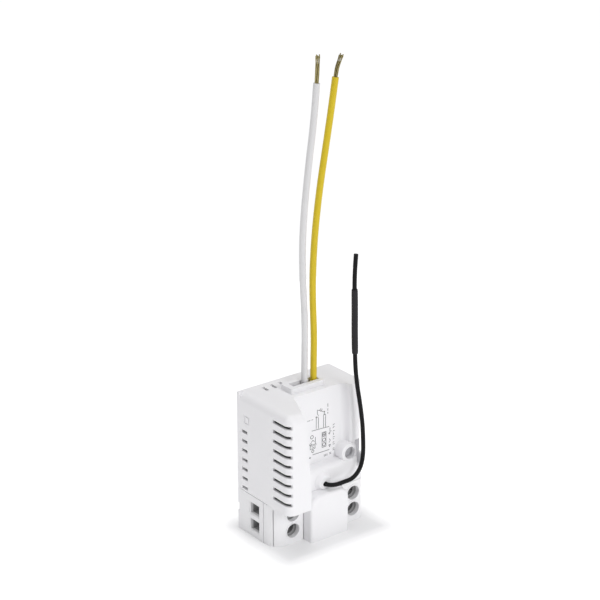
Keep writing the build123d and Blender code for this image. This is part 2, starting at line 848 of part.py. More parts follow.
with BuildPart() as relay_bobbin:
    pillar(relay_middle, coil_line, coil_start, coil_start + coil_flange, coil_flange_radius)
    pillar(relay_middle, coil_line, coil_end - coil_flange, coil_end, coil_flange_radius)
    pillar(relay_middle, coil_line, coil_start, coil_end, core_radius + core_gap + bobbin_wall)
    pillar(relay_middle, coil_line, coil_start - overrun, coil_end + overrun, core_radius + core_gap,
           mode=Mode.SUBTRACT)
    # foot that stands on the base
    block(relay_middle - core_radius, relay_middle + core_radius, coil_line + coil_flange_radius - overrun / 2,
          relay_base_front, coil_start, coil_start + coil_flange)
    block(relay_middle - core_radius, relay_middle + core_radius, coil_line + coil_flange_radius - overrun / 2,
          relay_base_front, coil_end - coil_flange, coil_end)
keep(relay_bobbin, "relay_bobbin")

with BuildPart() as relay_winding:
    pillar(relay_middle, coil_line, coil_start + coil_flange, coil_end - coil_flange, coil_radius)
    pillar(relay_middle, coil_line, coil_start, coil_end, core_radius + core_gap + bobbin_wall,
           mode=Mode.SUBTRACT)
keep(relay_winding, "relay_winding")

with BuildPart() as relay_core:
    pillar(relay_middle, coil_line, coil_start - yoke_gap, coil_end + core_overhang, core_radius)
keep(relay_core, "relay_core")

with BuildPart() as relay_yoke:
    yoke_low = coil_start - yoke_gap - yoke_thickness
    block(relay_middle - yoke_half_width, relay_middle + yoke_half_width, yoke_front, coil_line + yoke_reach,
          yoke_low, yoke_low + yoke_thickness)
    block(relay_middle - yoke_half_width, relay_middle + yoke_half_width, yoke_front,
          yoke_front + yoke_thickness, yoke_low, armature_low - armature_pivot_gap)
keep(relay_yoke, "relay_yoke")

with BuildPart() as relay_armature:
    armature_top = armature_low + armature_thickness
    block(relay_middle - yoke_half_width, relay_middle + yoke_half_width, yoke_front,
          coil_line + armature_reach, armature_low, armature_top)
    blade_top = armature_top + blade_length
    block(relay_middle - blade_half_width, relay_middle + blade_half_width, yoke_front,
          yoke_front + blade_thickness, armature_low, blade_top)
    contact_line = blade_top - contact_radius - blade_thickness
    rod(relay_middle, contact_line, yoke_front, yoke_front + blade_thickness + contact_height, contact_radius)
keep(relay_armature, "relay_armature")

with BuildPart() as relay_contact:
    contact_front = yoke_front + blade_thickness + contact_height + contact_gap
    plate_front = contact_front + contact_height
    rod(relay_middle, contact_line, contact_front, plate_front + contact_plate / 2, contact_radius)
    block(relay_middle - blade_half_width, relay_middle + blade_half_width, plate_front,
          plate_front + contact_plate, contact_line - contact_radius, blade_top)
    block(relay_middle - blade_half_width, relay_middle + blade_half_width, plate_front, relay_base_front,
          blade_top - contact_plate, blade_top)
keep(relay_contact, "relay_contact")


# Parts on the board
pin_places = [(relay_middle, relay_low + relay_length * share) for share in relay_pin_shares]

can_line = board_front - part_gap - can_radius
with BuildPart() as smoothing_capacitor:
    pillar(can_place, can_line, can_low, can_low + can_length, can_radius)
    fillet(smoothing_capacitor.edges().filter_by(GeomType.CIRCLE), can_round)
    groove_low = can_low + can_round + can_groove
    with BuildSketch(Plane.XY.offset(groove_low)) as groove:
        with Locations((across(can_place), behind(can_line))):
            Circle(can_radius + overrun)
            Circle(can_radius - can_groove, mode=Mode.SUBTRACT)
    extrude(groove.sketch, amount=can_round, mode=Mode.SUBTRACT)
    for side in (-1, 1):
        x_place = can_place + side * can_pin_spread
        z_place = can_low - can_pin_drop
        pin_places.append((x_place, z_place))
        pillar(x_place, can_line, z_place - pin_radius, can_low + can_round, pin_radius)
        pin(x_place, z_place, can_line - pin_radius)
keep(smoothing_capacitor, "smoothing_capacitor")

with BuildPart() as film_capacitor:
    block(film_left, film_left + film_width, board_front - film_height, board_front - part_gap, film_low,
          film_low + film_length)
    fillet(film_capacitor.edges().filter_by(Axis.Y), film_round)
    fillet(film_capacitor.faces().sort_by(Axis.Y)[0].edges(), film_round / 2)
    for z_place in (film_low + film_length / 5, film_low + film_length * 4 / 5):
        x_place = film_left + film_width / 2
        pin_places.append((x_place, z_place))
        pin(x_place, z_place, board_front - overrun)
keep(film_capacitor, "film_capacitor")

varistor_line = board_front - varistor_rise - varistor_radius
with BuildPart() as varistor:
    disc(varistor_left, varistor_left + varistor_thickness, varistor_line, varistor_height, varistor_radius)
    fillet(varistor.edges().filter_by(GeomType.CIRCLE), varistor_round)
    for side in (-1, 1):
        x_place = varistor_left + varistor_thickness / 2
        z_place = varistor_height + side * varistor_pin_spread
        pin_places.append((x_place, z_place))
        pin(x_place, z_place, varistor_line)
keep(varistor, "varistor")

fuse_line = board_front - part_gap - fuse_radius
with BuildPart() as fuse_resistor:
    pillar(fuse_place, fuse_line, fuse_low, fuse_low + fuse_length, fuse_radius - fuse_cap_step)
    for z_place in (fuse_low, fuse_low + fuse_length - fuse_cap_length):
        pillar(fuse_place, fuse_line, z_place, z_place + fuse_cap_length, fuse_radius)
    fillet(fuse_resistor.faces().sort_by(Axis.Z)[0].edges(), fuse_cap_step * 2)
    fillet(fuse_resistor.faces().sort_by(Axis.Z)[-1].edges(), fuse_cap_step * 2)
    low_pin = fuse_low - fuse_pin_reach
    high_pin = fuse_low + fuse_length + fuse_pin_reach
    pillar(fuse_place, fuse_line, low_pin - pin_radius, high_pin + pin_radius, pin_radius)
    for z_place in (low_pin, high_pin):
        pin_places.append((fuse_place, z_place))
        pin(fuse_place, z_place, fuse_line - pin_radius)
keep(fuse_resistor, "fuse_resistor")

with BuildPart() as inductor:
    low = board_front - inductor_length
    rod(inductor_place, inductor_height, low, board_front - part_gap, inductor_waist)
    rod(inductor_place, inductor_height, low, low + inductor_flange, inductor_radius)
    rod(inductor_place, inductor_height, board_front - part_gap - inductor_flange, board_front - part_gap,
        inductor_radius)
    for side in (-1, 1):
        x_place = inductor_place + side * inductor_pin_spread
        pin_places.append((x_place, inductor_height))
        pin(x_place, inductor_height, board_front - overrun / 2)
keep(inductor, "inductor")

with BuildPart() as inductor_winding:
    middle = board_front - part_gap - inductor_flange
    rod(inductor_place, inductor_height, low + inductor_flange, middle, inductor_radius - part_gap)
    rod(inductor_place, inductor_height, low, middle + overrun, inductor_waist, mode=Mode.SUBTRACT)
keep(inductor_winding, "inductor_winding")

with BuildPart() as power_chip:
    block(chip_left, chip_left + chip_width, board_front - chip_thickness, board_front - part_gap, chip_low,
          chip_low + chip_length)
    chamfer(power_chip.faces().sort_by(Axis.Y)[0].edges(), part_gap)
    for index in range(chip_leg_count):
        leg = chip_low + chip_length / 2 + (index - (chip_leg_count - 1) / 2) * chip_leg_pitch
        block(chip_left - chip_leg_reach, chip_left + chip_width + chip_leg_reach,
              board_front - chip_leg_thickness, board_front, leg - chip_leg_width / 2, leg + chip_leg_width / 2)
keep(power_chip, "power_chip")

with BuildPart() as controller_chip:
    block(controller_left, controller_left + controller_width, board_front - controller_thickness, board_front,
          controller_low, controller_low + controller_size)
    chamfer(controller_chip.faces().sort_by(Axis.Y)[0].edges(), part_gap)
keep(controller_chip, "controller_chip")

with BuildPart() as radio_board:
    block(radio_left, radio_left + radio_width, board_front - radio_board_thickness, board_front, radio_low,
          radio_low + radio_length)
keep(radio_board, "radio_board")

with BuildPart() as radio_shield:
    shield_back = board_front - radio_board_thickness
    block(radio_left + shield_inset, radio_left + radio_width - shield_inset, shield_back - shield_height,
          shield_back, radio_low + shield_inset, radio_low + shield_inset + shield_length)
    fillet(radio_shield.edges().filter_by(Axis.Y), shield_inset)
    inner = shield_inset + shield_wall
    block(radio_left + inner, radio_left + radio_width - inner, shield_back - shield_height + shield_wall,
          shield_back + overrun, radio_low + inner, radio_low + shield_inset + shield_length - shield_wall,
          mode=Mode.SUBTRACT)
keep(radio_shield, "radio_shield")

with BuildPart() as crystal:
    block(crystal_left, crystal_left + crystal_width, board_front - crystal_thickness, board_front, crystal_low,
          crystal_low + crystal_length)
    fillet(crystal.edges().filter_by(Axis.Y), crystal_thickness / 2)
keep(crystal, "crystal")

with BuildPart() as status_light:
    block(light_left, light_left + light_width, board_front - light_thickness, board_front, light_low,
          light_low + light_length)
    fillet(status_light.faces().sort_by(Axis.Y)[0].edges(), part_gap)
keep(status_light, "status_light")

with BuildPart() as lead_header:
    block(header_left, header_left + header_width, header_front, board_front, header_low,
          header_low + header_height)
    fillet(lead_header.faces().sort_by(Axis.Y)[0].edges(), header_round)
    for x_place in (white_lead_place, yellow_lead_place):
        pin_places.append((x_place, header_low + header_height / 3))
        pin(x_place, header_low + header_height / 3, board_front - overrun)
keep(lead_header, "lead_header")


# Push switch and the programming button that works it
switch_front = board_front - switch_height
with BuildPart() as push_switch:
    block(button_place - switch_size / 2, button_place + switch_size / 2, switch_front, board_front,
          button_height - switch_size / 2, button_height + switch_size / 2)
    chamfer(push_switch.edges().filter_by(Axis.Y), part_gap * 2)
    plunger_room_back = switch_front + plunger_sink + button_travel + part_gap
    rod(button_place, button_height, switch_front - overrun, plunger_room_back, plunger_radius + slide_gap,
        mode=Mode.SUBTRACT)
keep(push_switch, "push_switch")

plunger_front = switch_front - plunger_length
with BuildPart() as switch_plunger:
    rod(button_place, button_height, plunger_front, switch_front + plunger_sink, plunger_radius)
    fillet(switch_plunger.faces().sort_by(Axis.Y)[0].edges(), part_gap)
keep(switch_plunger, "switch_plunger")

button_front = button_boss_front + button_sink
with BuildPart() as program_button:
    flange_front = button_guide_back + button_rest_gap
    rod(button_place, button_height, button_front, flange_front + button_flange_thickness, button_radius)
    fillet(program_button.faces().sort_by(Axis.Y)[0].edges(), button_dish)
    rod(button_place, button_height, flange_front, flange_front + button_flange_thickness,
        button_flange_radius)
    rod(button_place, button_height, flange_front, plunger_front, button_stem_radius)
keep(program_button, "program_button")


# Circuit board with its holes and slots
with BuildPart() as circuit_board:
    board_side = wall + board_edge_gap
    block(board_side, body_width - board_side, board_front, board_back, board_low, board_top)
    fillet(circuit_board.edges().filter_by(Axis.Y), edge_round)
    for x_place, z_place in peg_places:
        rod(x_place, z_place, board_front - overrun, board_back + overrun, peg_radius + hole_gap,
            mode=Mode.SUBTRACT)
    for x_place, z_place in pin_places:
        rod(x_place, z_place, board_front - overrun, board_back + overrun, pin_radius + hole_gap,
            mode=Mode.SUBTRACT)
    for name, x_place, z_place, inward in terminals:
        tail_start = x_place + inward * (cage_half_length + tail_offset)
        tail_end = tail_start + inward * tail_thickness
        half_tail = tail_half_height + hole_gap
        block(min(tail_start, tail_end) - hole_gap, max(tail_start, tail_end) + hole_gap,
              board_front - overrun, board_back + overrun, z_place - half_tail, z_place + half_tail,
              mode=Mode.SUBTRACT)
keep(circuit_board, "circuit_board")


# Leads and antenna, as straight runs joined by tangent arcs
def in_frame(points):
    return [Vector(across(x), behind(y), z) for x, y, z in points]


def bend_radii(corners):
    radii = []
    for before, corner, after in zip(corners, corners[1:], corners[2:]):
        first = corner - before
        second = after - corner
        turn = math.radians(first.get_angle(second))
        radii.append(run_share * min(first.length, second.length) / math.tan(turn / 2))
    return radii


def tube(corners, radii, outer_radius, inner_radius):
    with BuildLine(mode=Mode.PRIVATE) as route:
        FilletPolyline(*corners, radius=radii)
    line = route.wires()[0]
    with BuildSketch(Plane(origin=line @ 0, z_dir=line % 0)) as section:
        Circle(outer_radius)
        if inner_radius:
            Circle(inner_radius, mode=Mode.SUBTRACT)
    sweep(section.sketch, path=line)
    return line.length * section.sketch.area


def cord(name, points, radius):
    corners = in_frame(points)
    radii = bend_radii(corners)
    with BuildPart() as piece:
        expected = tube(corners, radii, radius, 0)
    keep(piece, name)
    length = expected / (math.pi * radius**2)
    print(name, "length", round(length, 2), "radii", [round(value, 1) for value in radii],
          "volume", round(piece.part.volume / expected, 5))


cord("white_lead", white_route, lead_radius)
cord("white_strands", white_strand_route, strand_radius)
cord("yellow_lead", yellow_route, lead_radius)
cord("yellow_strands", yellow_strand_route, strand_radius)
cord("antenna_wire", antenna_route, antenna_radius)

# sleeve on the antenna, over the corners that it covers
antenna_corners = in_frame(antenna_route)
antenna_radii = bend_radii(antenna_corners)
sleeve_end_count = sleeve_start_count + sleeve_corner_count
before, *covered, after = antenna_corners[sleeve_start_count - 1 : sleeve_end_count + 1]
sleeve_corners = [
    before + (covered[0] - before) * sleeve_first_share,
    *covered,
    covered[-1] + (after - covered[-1]) * sleeve_last_share,
]
sleeve_radii = antenna_radii[sleeve_start_count - 1 : sleeve_end_count - 1]
with BuildPart() as antenna_sleeve:
    tube(sleeve_corners, sleeve_radii, antenna_radius + sleeve_gap + sleeve_wall, antenna_radius + sleeve_gap)
keep(antenna_sleeve, "antenna_sleeve")
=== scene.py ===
import bpy
import json
import math
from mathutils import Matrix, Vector


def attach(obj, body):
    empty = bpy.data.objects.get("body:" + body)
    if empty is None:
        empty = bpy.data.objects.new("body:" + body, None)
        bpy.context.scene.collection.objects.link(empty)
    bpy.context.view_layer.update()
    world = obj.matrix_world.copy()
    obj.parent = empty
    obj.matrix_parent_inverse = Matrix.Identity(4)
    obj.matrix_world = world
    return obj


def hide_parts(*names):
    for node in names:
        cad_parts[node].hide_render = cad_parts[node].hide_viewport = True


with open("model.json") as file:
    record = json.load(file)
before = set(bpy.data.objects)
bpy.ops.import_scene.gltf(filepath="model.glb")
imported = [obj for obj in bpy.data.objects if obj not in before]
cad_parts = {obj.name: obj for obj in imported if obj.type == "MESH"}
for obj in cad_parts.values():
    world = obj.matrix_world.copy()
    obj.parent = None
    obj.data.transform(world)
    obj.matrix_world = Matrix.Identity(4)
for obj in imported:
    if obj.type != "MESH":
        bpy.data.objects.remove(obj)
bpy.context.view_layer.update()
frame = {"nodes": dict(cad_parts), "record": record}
print("frame loaded:", len(frame["nodes"]), "nodes")


# Camera, at the angle of the photograph

camera = {
    "place": (-0.27495, -0.35255, 0.24071),
    "look": (0.5700, 0.7393, -0.3586),
    "lens": 106.0,
    "sensor": 36.0,
    "nearest": 0.01,
    "farthest": 20,
}


def setCamera():
    data = bpy.data.cameras.new("studioCamera")
    data.lens = camera["lens"]
    data.sensor_width = camera["sensor"]
    data.clip_start = camera["nearest"]
    data.clip_end = camera["farthest"]
    holder = bpy.data.objects.new("studioCamera", data)
    bpy.context.scene.collection.objects.link(holder)
    holder.location = camera["place"]
    holder.rotation_euler = Vector(camera["look"]).to_track_quat("-Z", "Y").to_euler()
    bpy.context.scene.camera = holder


setCamera()


# Small helpers for the modelling

def clearAll():
    if bpy.context.mode != "OBJECT":
        bpy.ops.object.mode_set(mode="OBJECT")
    bpy.ops.object.select_all(action="DESELECT")


def pickOnly(piece):
    clearAll()
    piece.select_set(True)
    bpy.context.view_layer.objects.active = piece


def settle(piece, angle):
    # place and turn go into the mesh, and the smooth shading stops at real edges
    pickOnly(piece)
    bpy.ops.object.transform_apply(location=True, rotation=True, scale=True)
    bpy.ops.object.shade_smooth_by_angle(angle=math.radians(angle))


cordShape = {
    "sides": 6,              # roundness of the section
    "smoothness": 16,
    "readSmoothness": 24,    # finer, where the line's own points are read
    "order": 3,
    "edgeAngle": 50,         # smooth shading stops at edges sharper than this
}


def makeLine(name, routes, radius, sides, smoothness):
    # a round line through each route's points, as smooth splines
    data = bpy.data.curves.new(name, "CURVE")
    data.dimensions = "3D"
    data.resolution_u = smoothness
    data.bevel_depth = 1 if radius else 0   # the thickness is in each point's own radius
    data.bevel_resolution = sides
    data.use_fill_caps = True
    for route in routes:
        spline = data.splines.new("NURBS")
        spline.points.add(len(route) - 1)
        for point, place in zip(spline.points, route):
            point.co = (*place, 1)
            point.radius = radius
        spline.order_u = cordShape["order"]
        spline.use_endpoint_u = True
    piece = bpy.data.objects.new(name, data)
    bpy.context.scene.collection.objects.link(piece)
    return piece


def readLine(route, name):
    # the points of the smooth line itself, with no thickness
    line = makeLine(name, [route], 0, cordShape["sides"], cordShape["readSmoothness"])
    mesh = bpy.data.meshes.new_from_object(line)
    points = [vertex.co.copy() for vertex in mesh.vertices]
    bpy.data.meshes.remove(mesh)
    bpy.data.objects.remove(line)
    return points


def makeCord(name, route, radius):
    return makeLine(name, [route], radius, cordShape["sides"], cordShape["smoothness"])


def measure(points):
    return sum((b - a).length for a, b in zip(points, points[1:]))


# The two leads and the antenna

leads = {
    "radius": 0.00093,
    "white": [
        (0.00070, 0.00300, 0.03840), (0.00070, 0.00300, 0.04860), (0.00095, 0.00300, 0.06050),
        (-0.00010, 0.00300, 0.07700), (0.00020, 0.00305, 0.08950), (0.00190, 0.00300, 0.10500),
        (0.00390, 0.00295, 0.11860), (0.00467, 0.00300, 0.12780),
    ],
    "yellow": [
        (0.00390, 0.00300, 0.03840), (0.00390, 0.00300, 0.04900), (0.00410, 0.00300, 0.05650),
        (0.00340, 0.00300, 0.07050), (0.00400, 0.00305, 0.08400), (0.00560, 0.00300, 0.09750),
        (0.00800, 0.00295, 0.11100), (0.00990, 0.00300, 0.12150), (0.01100, 0.00300, 0.12850),
    ],
}

strands = {
    "whiteRoute": [
        (0.00467, 0.00300, 0.12780), (0.00485, 0.00300, 0.13000), (0.00490, 0.00295, 0.13300),
        (0.00500, 0.00290, 0.13530),
    ],
    "yellowRoute": [
        (0.01100, 0.00300, 0.12850), (0.01135, 0.00300, 0.13070), (0.01220, 0.00295, 0.13270),
        (0.01300, 0.00290, 0.13440),
    ],
    "wire": 0.000165,   # radius of one wire
    "ring": 0.00042,    # the outer wires lie round the middle one
    "count": 7,
    "twist": 1.1,       # in radians over the bare length
    "splay": 0.00018,   # how far the tips open out, with an even and an uneven share
    "evenShare": 0.4,
    "unevenShare": 0.6,
    "unevenStep": 2.3,  # these two steps make each wire differ from the next
    "tipStep": 4.1,
    "tipSpread": 0.0003,
    "tipDrop": 0.00018,
    "picks": 6,         # points along each wire
    "span": 2,          # line points on each side that give the direction
    "sides": 2,
    "smoothness": 8,
}

antenna = {
    "radius": 0.00062,
    "route": [
        (0.00090, 0.00820, 0.01560), (0.00090, -0.00340, 0.01560), (0.00090, -0.00700, 0.01560),
        (0.00250, -0.00860, 0.01565), (0.00540, -0.00868, 0.01570), (0.00970, -0.00860, 0.01575),
        (0.01300, -0.00830, 0.01960), (0.01315, -0.00785, 0.02900), (0.01270, -0.00725, 0.03600),
        (0.01110, -0.00670, 0.04600), (0.01095, -0.00630, 0.05700), (0.01115, -0.00595, 0.06700),
        (0.01100, -0.00580, 0.07550), (0.01150, -0.00580, 0.08130),
    ],
    "sleeveLow": 0.0524,
    "sleeveTop": 0.0715,
    "sleeveOuter": 0.00091,
    "sleeveInner": 0.00066,
    "sleeveSides": 32,
    "sleeveRoll": 0.00006,    # the ends are rolled in by this much
    "sleeveGrip": 0.00007,    # the ends have shrunk a little more
    "gripReach": 0.0009,
}


def acrossLine(along):
    # two directions square to the line and to each other
    side = along.cross(Vector((0, 1, 0))).normalized()
    return side, along.cross(side)


def makeWire(line, index):
    # one wire's points: the last one is the core, the others lie round it
    isCore = index == strands["count"] - 1
    start = index * 2 * math.pi / (strands["count"] - 1)
    uneven = math.sin(strands["unevenStep"] * index + 1) ** 2
    fray = strands["splay"] * (strands["evenShare"] + strands["unevenShare"] * uneven)
    tip = strands["tipSpread"] * math.sin(strands["tipStep"] * index) - strands["tipDrop"]
    points = []
    for step in range(strands["picks"]):
        share = step / (strands["picks"] - 1)
        middle = round(share * (len(line) - 1))
        before = line[max(0, middle - strands["span"])]
        after = line[min(len(line) - 1, middle + strands["span"])]
        along = (after - before).normalized()
        side, other = acrossLine(along)
        angle = start + strands["twist"] * share
        far = 0 if isCore else strands["ring"] + fray * share ** 3
        points.append(line[middle] + (side * math.cos(angle) + other * math.sin(angle)) * far
                      + along * tip * share ** 2)
    return points


def makeStrands(name, route):
    line = readLine(route, name + "Line")
    routes = [makeWire(line, index) for index in range(strands["count"])]
    pickOnly(makeLine(name, routes, strands["wire"], strands["sides"], strands["smoothness"]))
    bpy.ops.object.convert(target="MESH")
    settle(bpy.context.object, cordShape["edgeAngle"])
    return bpy.context.object


def makeSleeve(name, line):
    # a tube round the stretch of the wire between two heights, with rolled ends
    held = [point for point in line if antenna["sleeveLow"] <= point.z <= antenna["sleeveTop"]]
    sides = antenna["sleeveSides"]
    roll = antenna["sleeveRoll"]
    rows = []
    length = measure(held)
    reached = 0
    for index, place in enumerate(held):
        if index:
            reached += (place - held[index - 1]).length
        along = (held[min(index + 1, len(held) - 1)] - held[max(index - 1, 0)]).normalized()
        end = min(reached, length - reached)
        grip = antenna["sleeveGrip"] * math.exp(-end / antenna["gripReach"])
        rows.append((place, along, antenna["sleeveOuter"] - grip))
    first, last = rows[0], rows[-1]
    rows.insert(0, (first[0] - first[1] * roll, first[1], first[2] - roll))
    rows.append((last[0] + last[1] * roll, last[1], last[2] - roll))
    inner = [(place, along, antenna["sleeveInner"]) for place, along, radius in reversed(rows)]
    rings = rows + inner
    vertices = []
    for place, along, radius in rings:
        side, other = acrossLine(along)
        for step in range(sides):
            angle = step * 2 * math.pi / sides
            vertices.append(place + (side * math.cos(angle) + other * math.sin(angle)) * radius)
    faces = []
    for row in range(len(rings)):
        here, there = row * sides, (row + 1) % len(rings) * sides
        for step in range(sides):
            right = (step + 1) % sides
            faces.append((here + step, here + right, there + right, there + step))
    mesh = bpy.data.meshes.new(name)
    mesh.from_pydata(vertices, [], faces)
    piece = bpy.data.objects.new(name, mesh)
    bpy.context.scene.collection.objects.link(piece)
    pickOnly(piece)
    bpy.ops.object.mode_set(mode="EDIT")
    bpy.ops.mesh.select_all(action="SELECT")
    bpy.ops.mesh.normals_make_consistent(inside=False)
    bpy.ops.object.mode_set(mode="OBJECT")
    settle(piece, cordShape["edgeAngle"])
    return piece


whiteLead = makeCord("whiteLead", leads["white"], leads["radius"])
yellowLead = makeCord("yellowLead", leads["yellow"], leads["radius"])
antennaWire = makeCord("antennaWire", antenna["route"], antenna["radius"])
whiteStrands = makeStrands("whiteStrands", strands["whiteRoute"])
yellowStrands = makeStrands("yellowStrands", strands["yellowRoute"])
antennaLine = readLine(antenna["route"], "antennaLine")
antennaSleeve = makeSleeve("antennaSleeve", antennaLine)

drawnPieces = [
    (whiteLead, "white_lead"), (yellowLead, "yellow_lead"), (antennaWire, "antenna_wire"),
    (whiteStrands, "white_strands"), (yellowStrands, "yellow_strands"),
    (antennaSleeve, "antenna_sleeve"),
]
for piece, node in drawnPieces:
    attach(piece, "housing")
    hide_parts(node)

measure(readLine(leads["white"], "whiteLine"))
measure(readLine(leads["yellow"], "yellowLine"))
measure(antennaLine)
print("leads and antenna made")


# The wiring sketch printed on the label plane: lines, circles and dots

labelPrint = {
    "plane": -0.0014,      # the label plane's distance along Y
    "ink": 0.000088,       # half the width of a line
    "proud": 0.000012,     # how far the ink stands proud
    "lineSides": 1,
    "lineSmoothness": 2,
    "circleSteps": 28,
    "circleSides": 6,
    "dotSteps": 16,
    "dotRings": 8,
    "edgeAngle": 60,
    # lines: x and z of both ends
    "lines": [
        ((-0.0001, 0.0303), (0.0061, 0.0300)),
        ((0.0002, 0.0229), (0.0062, 0.0228)),
        ((0.0015, 0.0340), (0.0015, 0.0306)), ((0.0023, 0.0338), (0.0023, 0.0304)),
        ((0.0041, 0.0341), (0.0041, 0.0302)), ((0.0048, 0.0341), (0.0048, 0.0302)),
        ((0.0019, 0.0362), (0.0041, 0.0351)), ((0.0043, 0.0350), (0.0043, 0.0343)),
        ((0.0015, 0.0340), (0.0023, 0.0340)), ((0.0041, 0.0342), (0.0048, 0.0342)),
        ((0.0056, 0.0372), (0.0056, 0.0362)), ((0.0056, 0.0357), (0.0056, 0.0350)),
        ((0.0056, 0.0346), (0.0056, 0.0341)),
        ((-0.0016, 0.0337), (-0.0006, 0.0337)), ((-0.0002, 0.0337), (0.0004, 0.0337)),
        ((0.0064, 0.0296), (0.0064, 0.0284)), ((0.0064, 0.0284), (0.0070, 0.0284)),
        ((0.0058, 0.0279), (0.0066, 0.0279)), ((0.0062, 0.0283), (0.0062, 0.0275)),
        ((0.0061, 0.0262), (0.0066, 0.0256)), ((0.0066, 0.0256), (0.0061, 0.0250)),
        ((0.0060, 0.0243), (0.0066, 0.0243)), ((0.0060, 0.0243), (0.0063, 0.0236)),
        ((0.0066, 0.0243), (0.0063, 0.0236)),
        ((-0.0003, 0.0268), (0.0003, 0.0274)), ((0.0003, 0.0274), (0.0009, 0.0268)),
        ((-0.0002, 0.0256), (0.0008, 0.0256)), ((-0.0002, 0.0251), (0.0008, 0.0251)),
        ((0.0012, 0.0281), (0.0012, 0.0262)), ((0.0012, 0.0262), (0.0016, 0.0258)),
        ((-0.0010, 0.0222), (-0.0004, 0.0222)), ((-0.0007, 0.0225), (-0.0007, 0.0219)),
        ((0.0044, 0.0218), (0.0044, 0.0211)), ((0.0049, 0.0218), (0.0049, 0.0211)),
        ((0.0054, 0.0218), (0.0054, 0.0211)), ((0.0062, 0.0218), (0.0069, 0.0218)),
        ((0.0062, 0.0214), (0.0069, 0.0214)),
        ((0.0074, 0.0300), (0.0081, 0.0303)), ((0.0074, 0.0291), (0.0080, 0.0296)),
        ((0.0074, 0.0282), (0.0081, 0.0282)), ((0.0077, 0.0276), (0.0077, 0.0270)),
        ((0.0074, 0.0263), (0.0081, 0.0263)), ((0.0074, 0.0257), (0.0079, 0.0257)),
        ((0.0074, 0.0247), (0.0080, 0.0247)), ((0.0074, 0.0241), (0.0081, 0.0241)),
        ((0.0074, 0.0228), (0.0080, 0.0228)), ((0.0074, 0.0223), (0.0081, 0.0223)),
        ((0.0026, 0.0358), (0.0032, 0.0364)), ((0.0030, 0.0354), (0.0037, 0.0361)),
        ((0.0019, 0.0362), (0.0019, 0.0350)), ((0.0019, 0.0350), (0.0023, 0.0344)),
    ],
    # circles: x and z of the middle, and the radius
    "circles": [
        (0.0043, 0.0280, 0.00058), (0.0043, 0.0280, 0.00022), (0.0043, 0.0264, 0.00050),
        (0.0043, 0.0250, 0.00050), (0.0000, 0.0284, 0.00050), (-0.0005, 0.0262, 0.00032),
        (0.0003, 0.0240, 0.00040),
    ],
    # boxes: left, bottom, right and top
    "boxes": [
        (0.0036, 0.0242, 0.0050, 0.0288), (-0.0006, 0.0247, 0.0011, 0.0260),
    ],
    "dots": [(0.0015, 0.0341, 0.00022), (0.0043, 0.0342, 0.00022), (0.0044, 0.0350, 0.00022)],
}


def inkLine(start, end):
    # a straight route on the label plane between two points given as x and z
    plane = labelPrint["plane"]
    middle = ((start[0] + end[0]) / 2, (start[1] + end[1]) / 2)
    return [(x, plane, z) for x, z in (start, middle, end)]


def makeLabelPrint():
    plane = labelPrint["plane"]
    routes = [inkLine(start, end) for start, end in labelPrint["lines"]]
    for left, bottom, right, top in labelPrint["boxes"]:
        corners = [(left, bottom), (right, bottom), (right, top), (left, top)]
        routes += [inkLine(start, end) for start, end in zip(corners, corners[1:] + corners[:1])]
    pickOnly(makeLine("labelPrint", routes, labelPrint["ink"], labelPrint["lineSides"],
                      labelPrint["lineSmoothness"]))
    bpy.ops.object.convert(target="MESH")
    sketch = bpy.context.object
    parts = [sketch]
    for x, z, radius in labelPrint["circles"]:
        clearAll()
        bpy.ops.mesh.primitive_torus_add(location=(x, plane, z), rotation=(math.pi / 2, 0, 0),
                                         major_radius=radius, minor_radius=labelPrint["ink"],
                                         major_segments=labelPrint["circleSteps"],
                                         minor_segments=labelPrint["circleSides"])
        parts.append(bpy.context.object)
    for x, z, radius in labelPrint["dots"]:
        clearAll()
        bpy.ops.mesh.primitive_uv_sphere_add(segments=labelPrint["dotSteps"],
                                             ring_count=labelPrint["dotRings"],
                                             radius=radius, location=(x, plane, z))
        parts.append(bpy.context.object)
    clearAll()
    for part in parts:
        part.select_set(True)
    bpy.context.view_layer.objects.active = sketch
    bpy.ops.object.join()
    # pressed flat, so that only a film of ink stands on the plane
    bpy.ops.object.mode_set(mode="EDIT")
    bpy.ops.mesh.select_all(action="SELECT")
    bpy.ops.transform.resize(value=(1, labelPrint["proud"] / labelPrint["ink"], 1),
                             center_override=(0, plane, 0))
    bpy.ops.mesh.normals_make_consistent(inside=False)
    bpy.ops.object.mode_set(mode="OBJECT")
    settle(sketch, labelPrint["edgeAngle"])
    return sketch


label = makeLabelPrint()
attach(label, "housing")
print("label sketch made")


# Finishes

class Flow:
    # a socket that can stand in a sum
    def __init__(self, finish, socket):
        self.finish = finish
        self.socket = socket

    def work(self, operation, first, second=0.0):
        return self.finish.add("ShaderNodeMath", {"operation": operation}, {0: first, 1: second})

    def __add__(self, other):
        return self.work("ADD", self, other)

    def __radd__(self, other):
        return self.work("ADD", other, self)

    def __sub__(self, other):
        return self.work("SUBTRACT", self, other)

    def __rsub__(self, other):
        return self.work("SUBTRACT", other, self)

    def __mul__(self, other):
        return self.work("MULTIPLY", self, other)

    def __truediv__(self, other):
        return self.work("DIVIDE", self, other)

    def __abs__(self):
        return self.work("ABSOLUTE", self)

    def __gt__(self, other):
        return self.work("GREATER_THAN", self, other)

    def __lt__(self, other):
        return self.work("LESS_THAN", self, other)

    def least(self, other):
        return self.work("MINIMUM", self, other)

    def most(self, other):
        return self.work("MAXIMUM", self, other)

    def sine(self):
        return self.work("SINE", self)

    def root(self):
        return self.work("SQRT", self)

    def part(self):
        return self.work("FRACT", self)


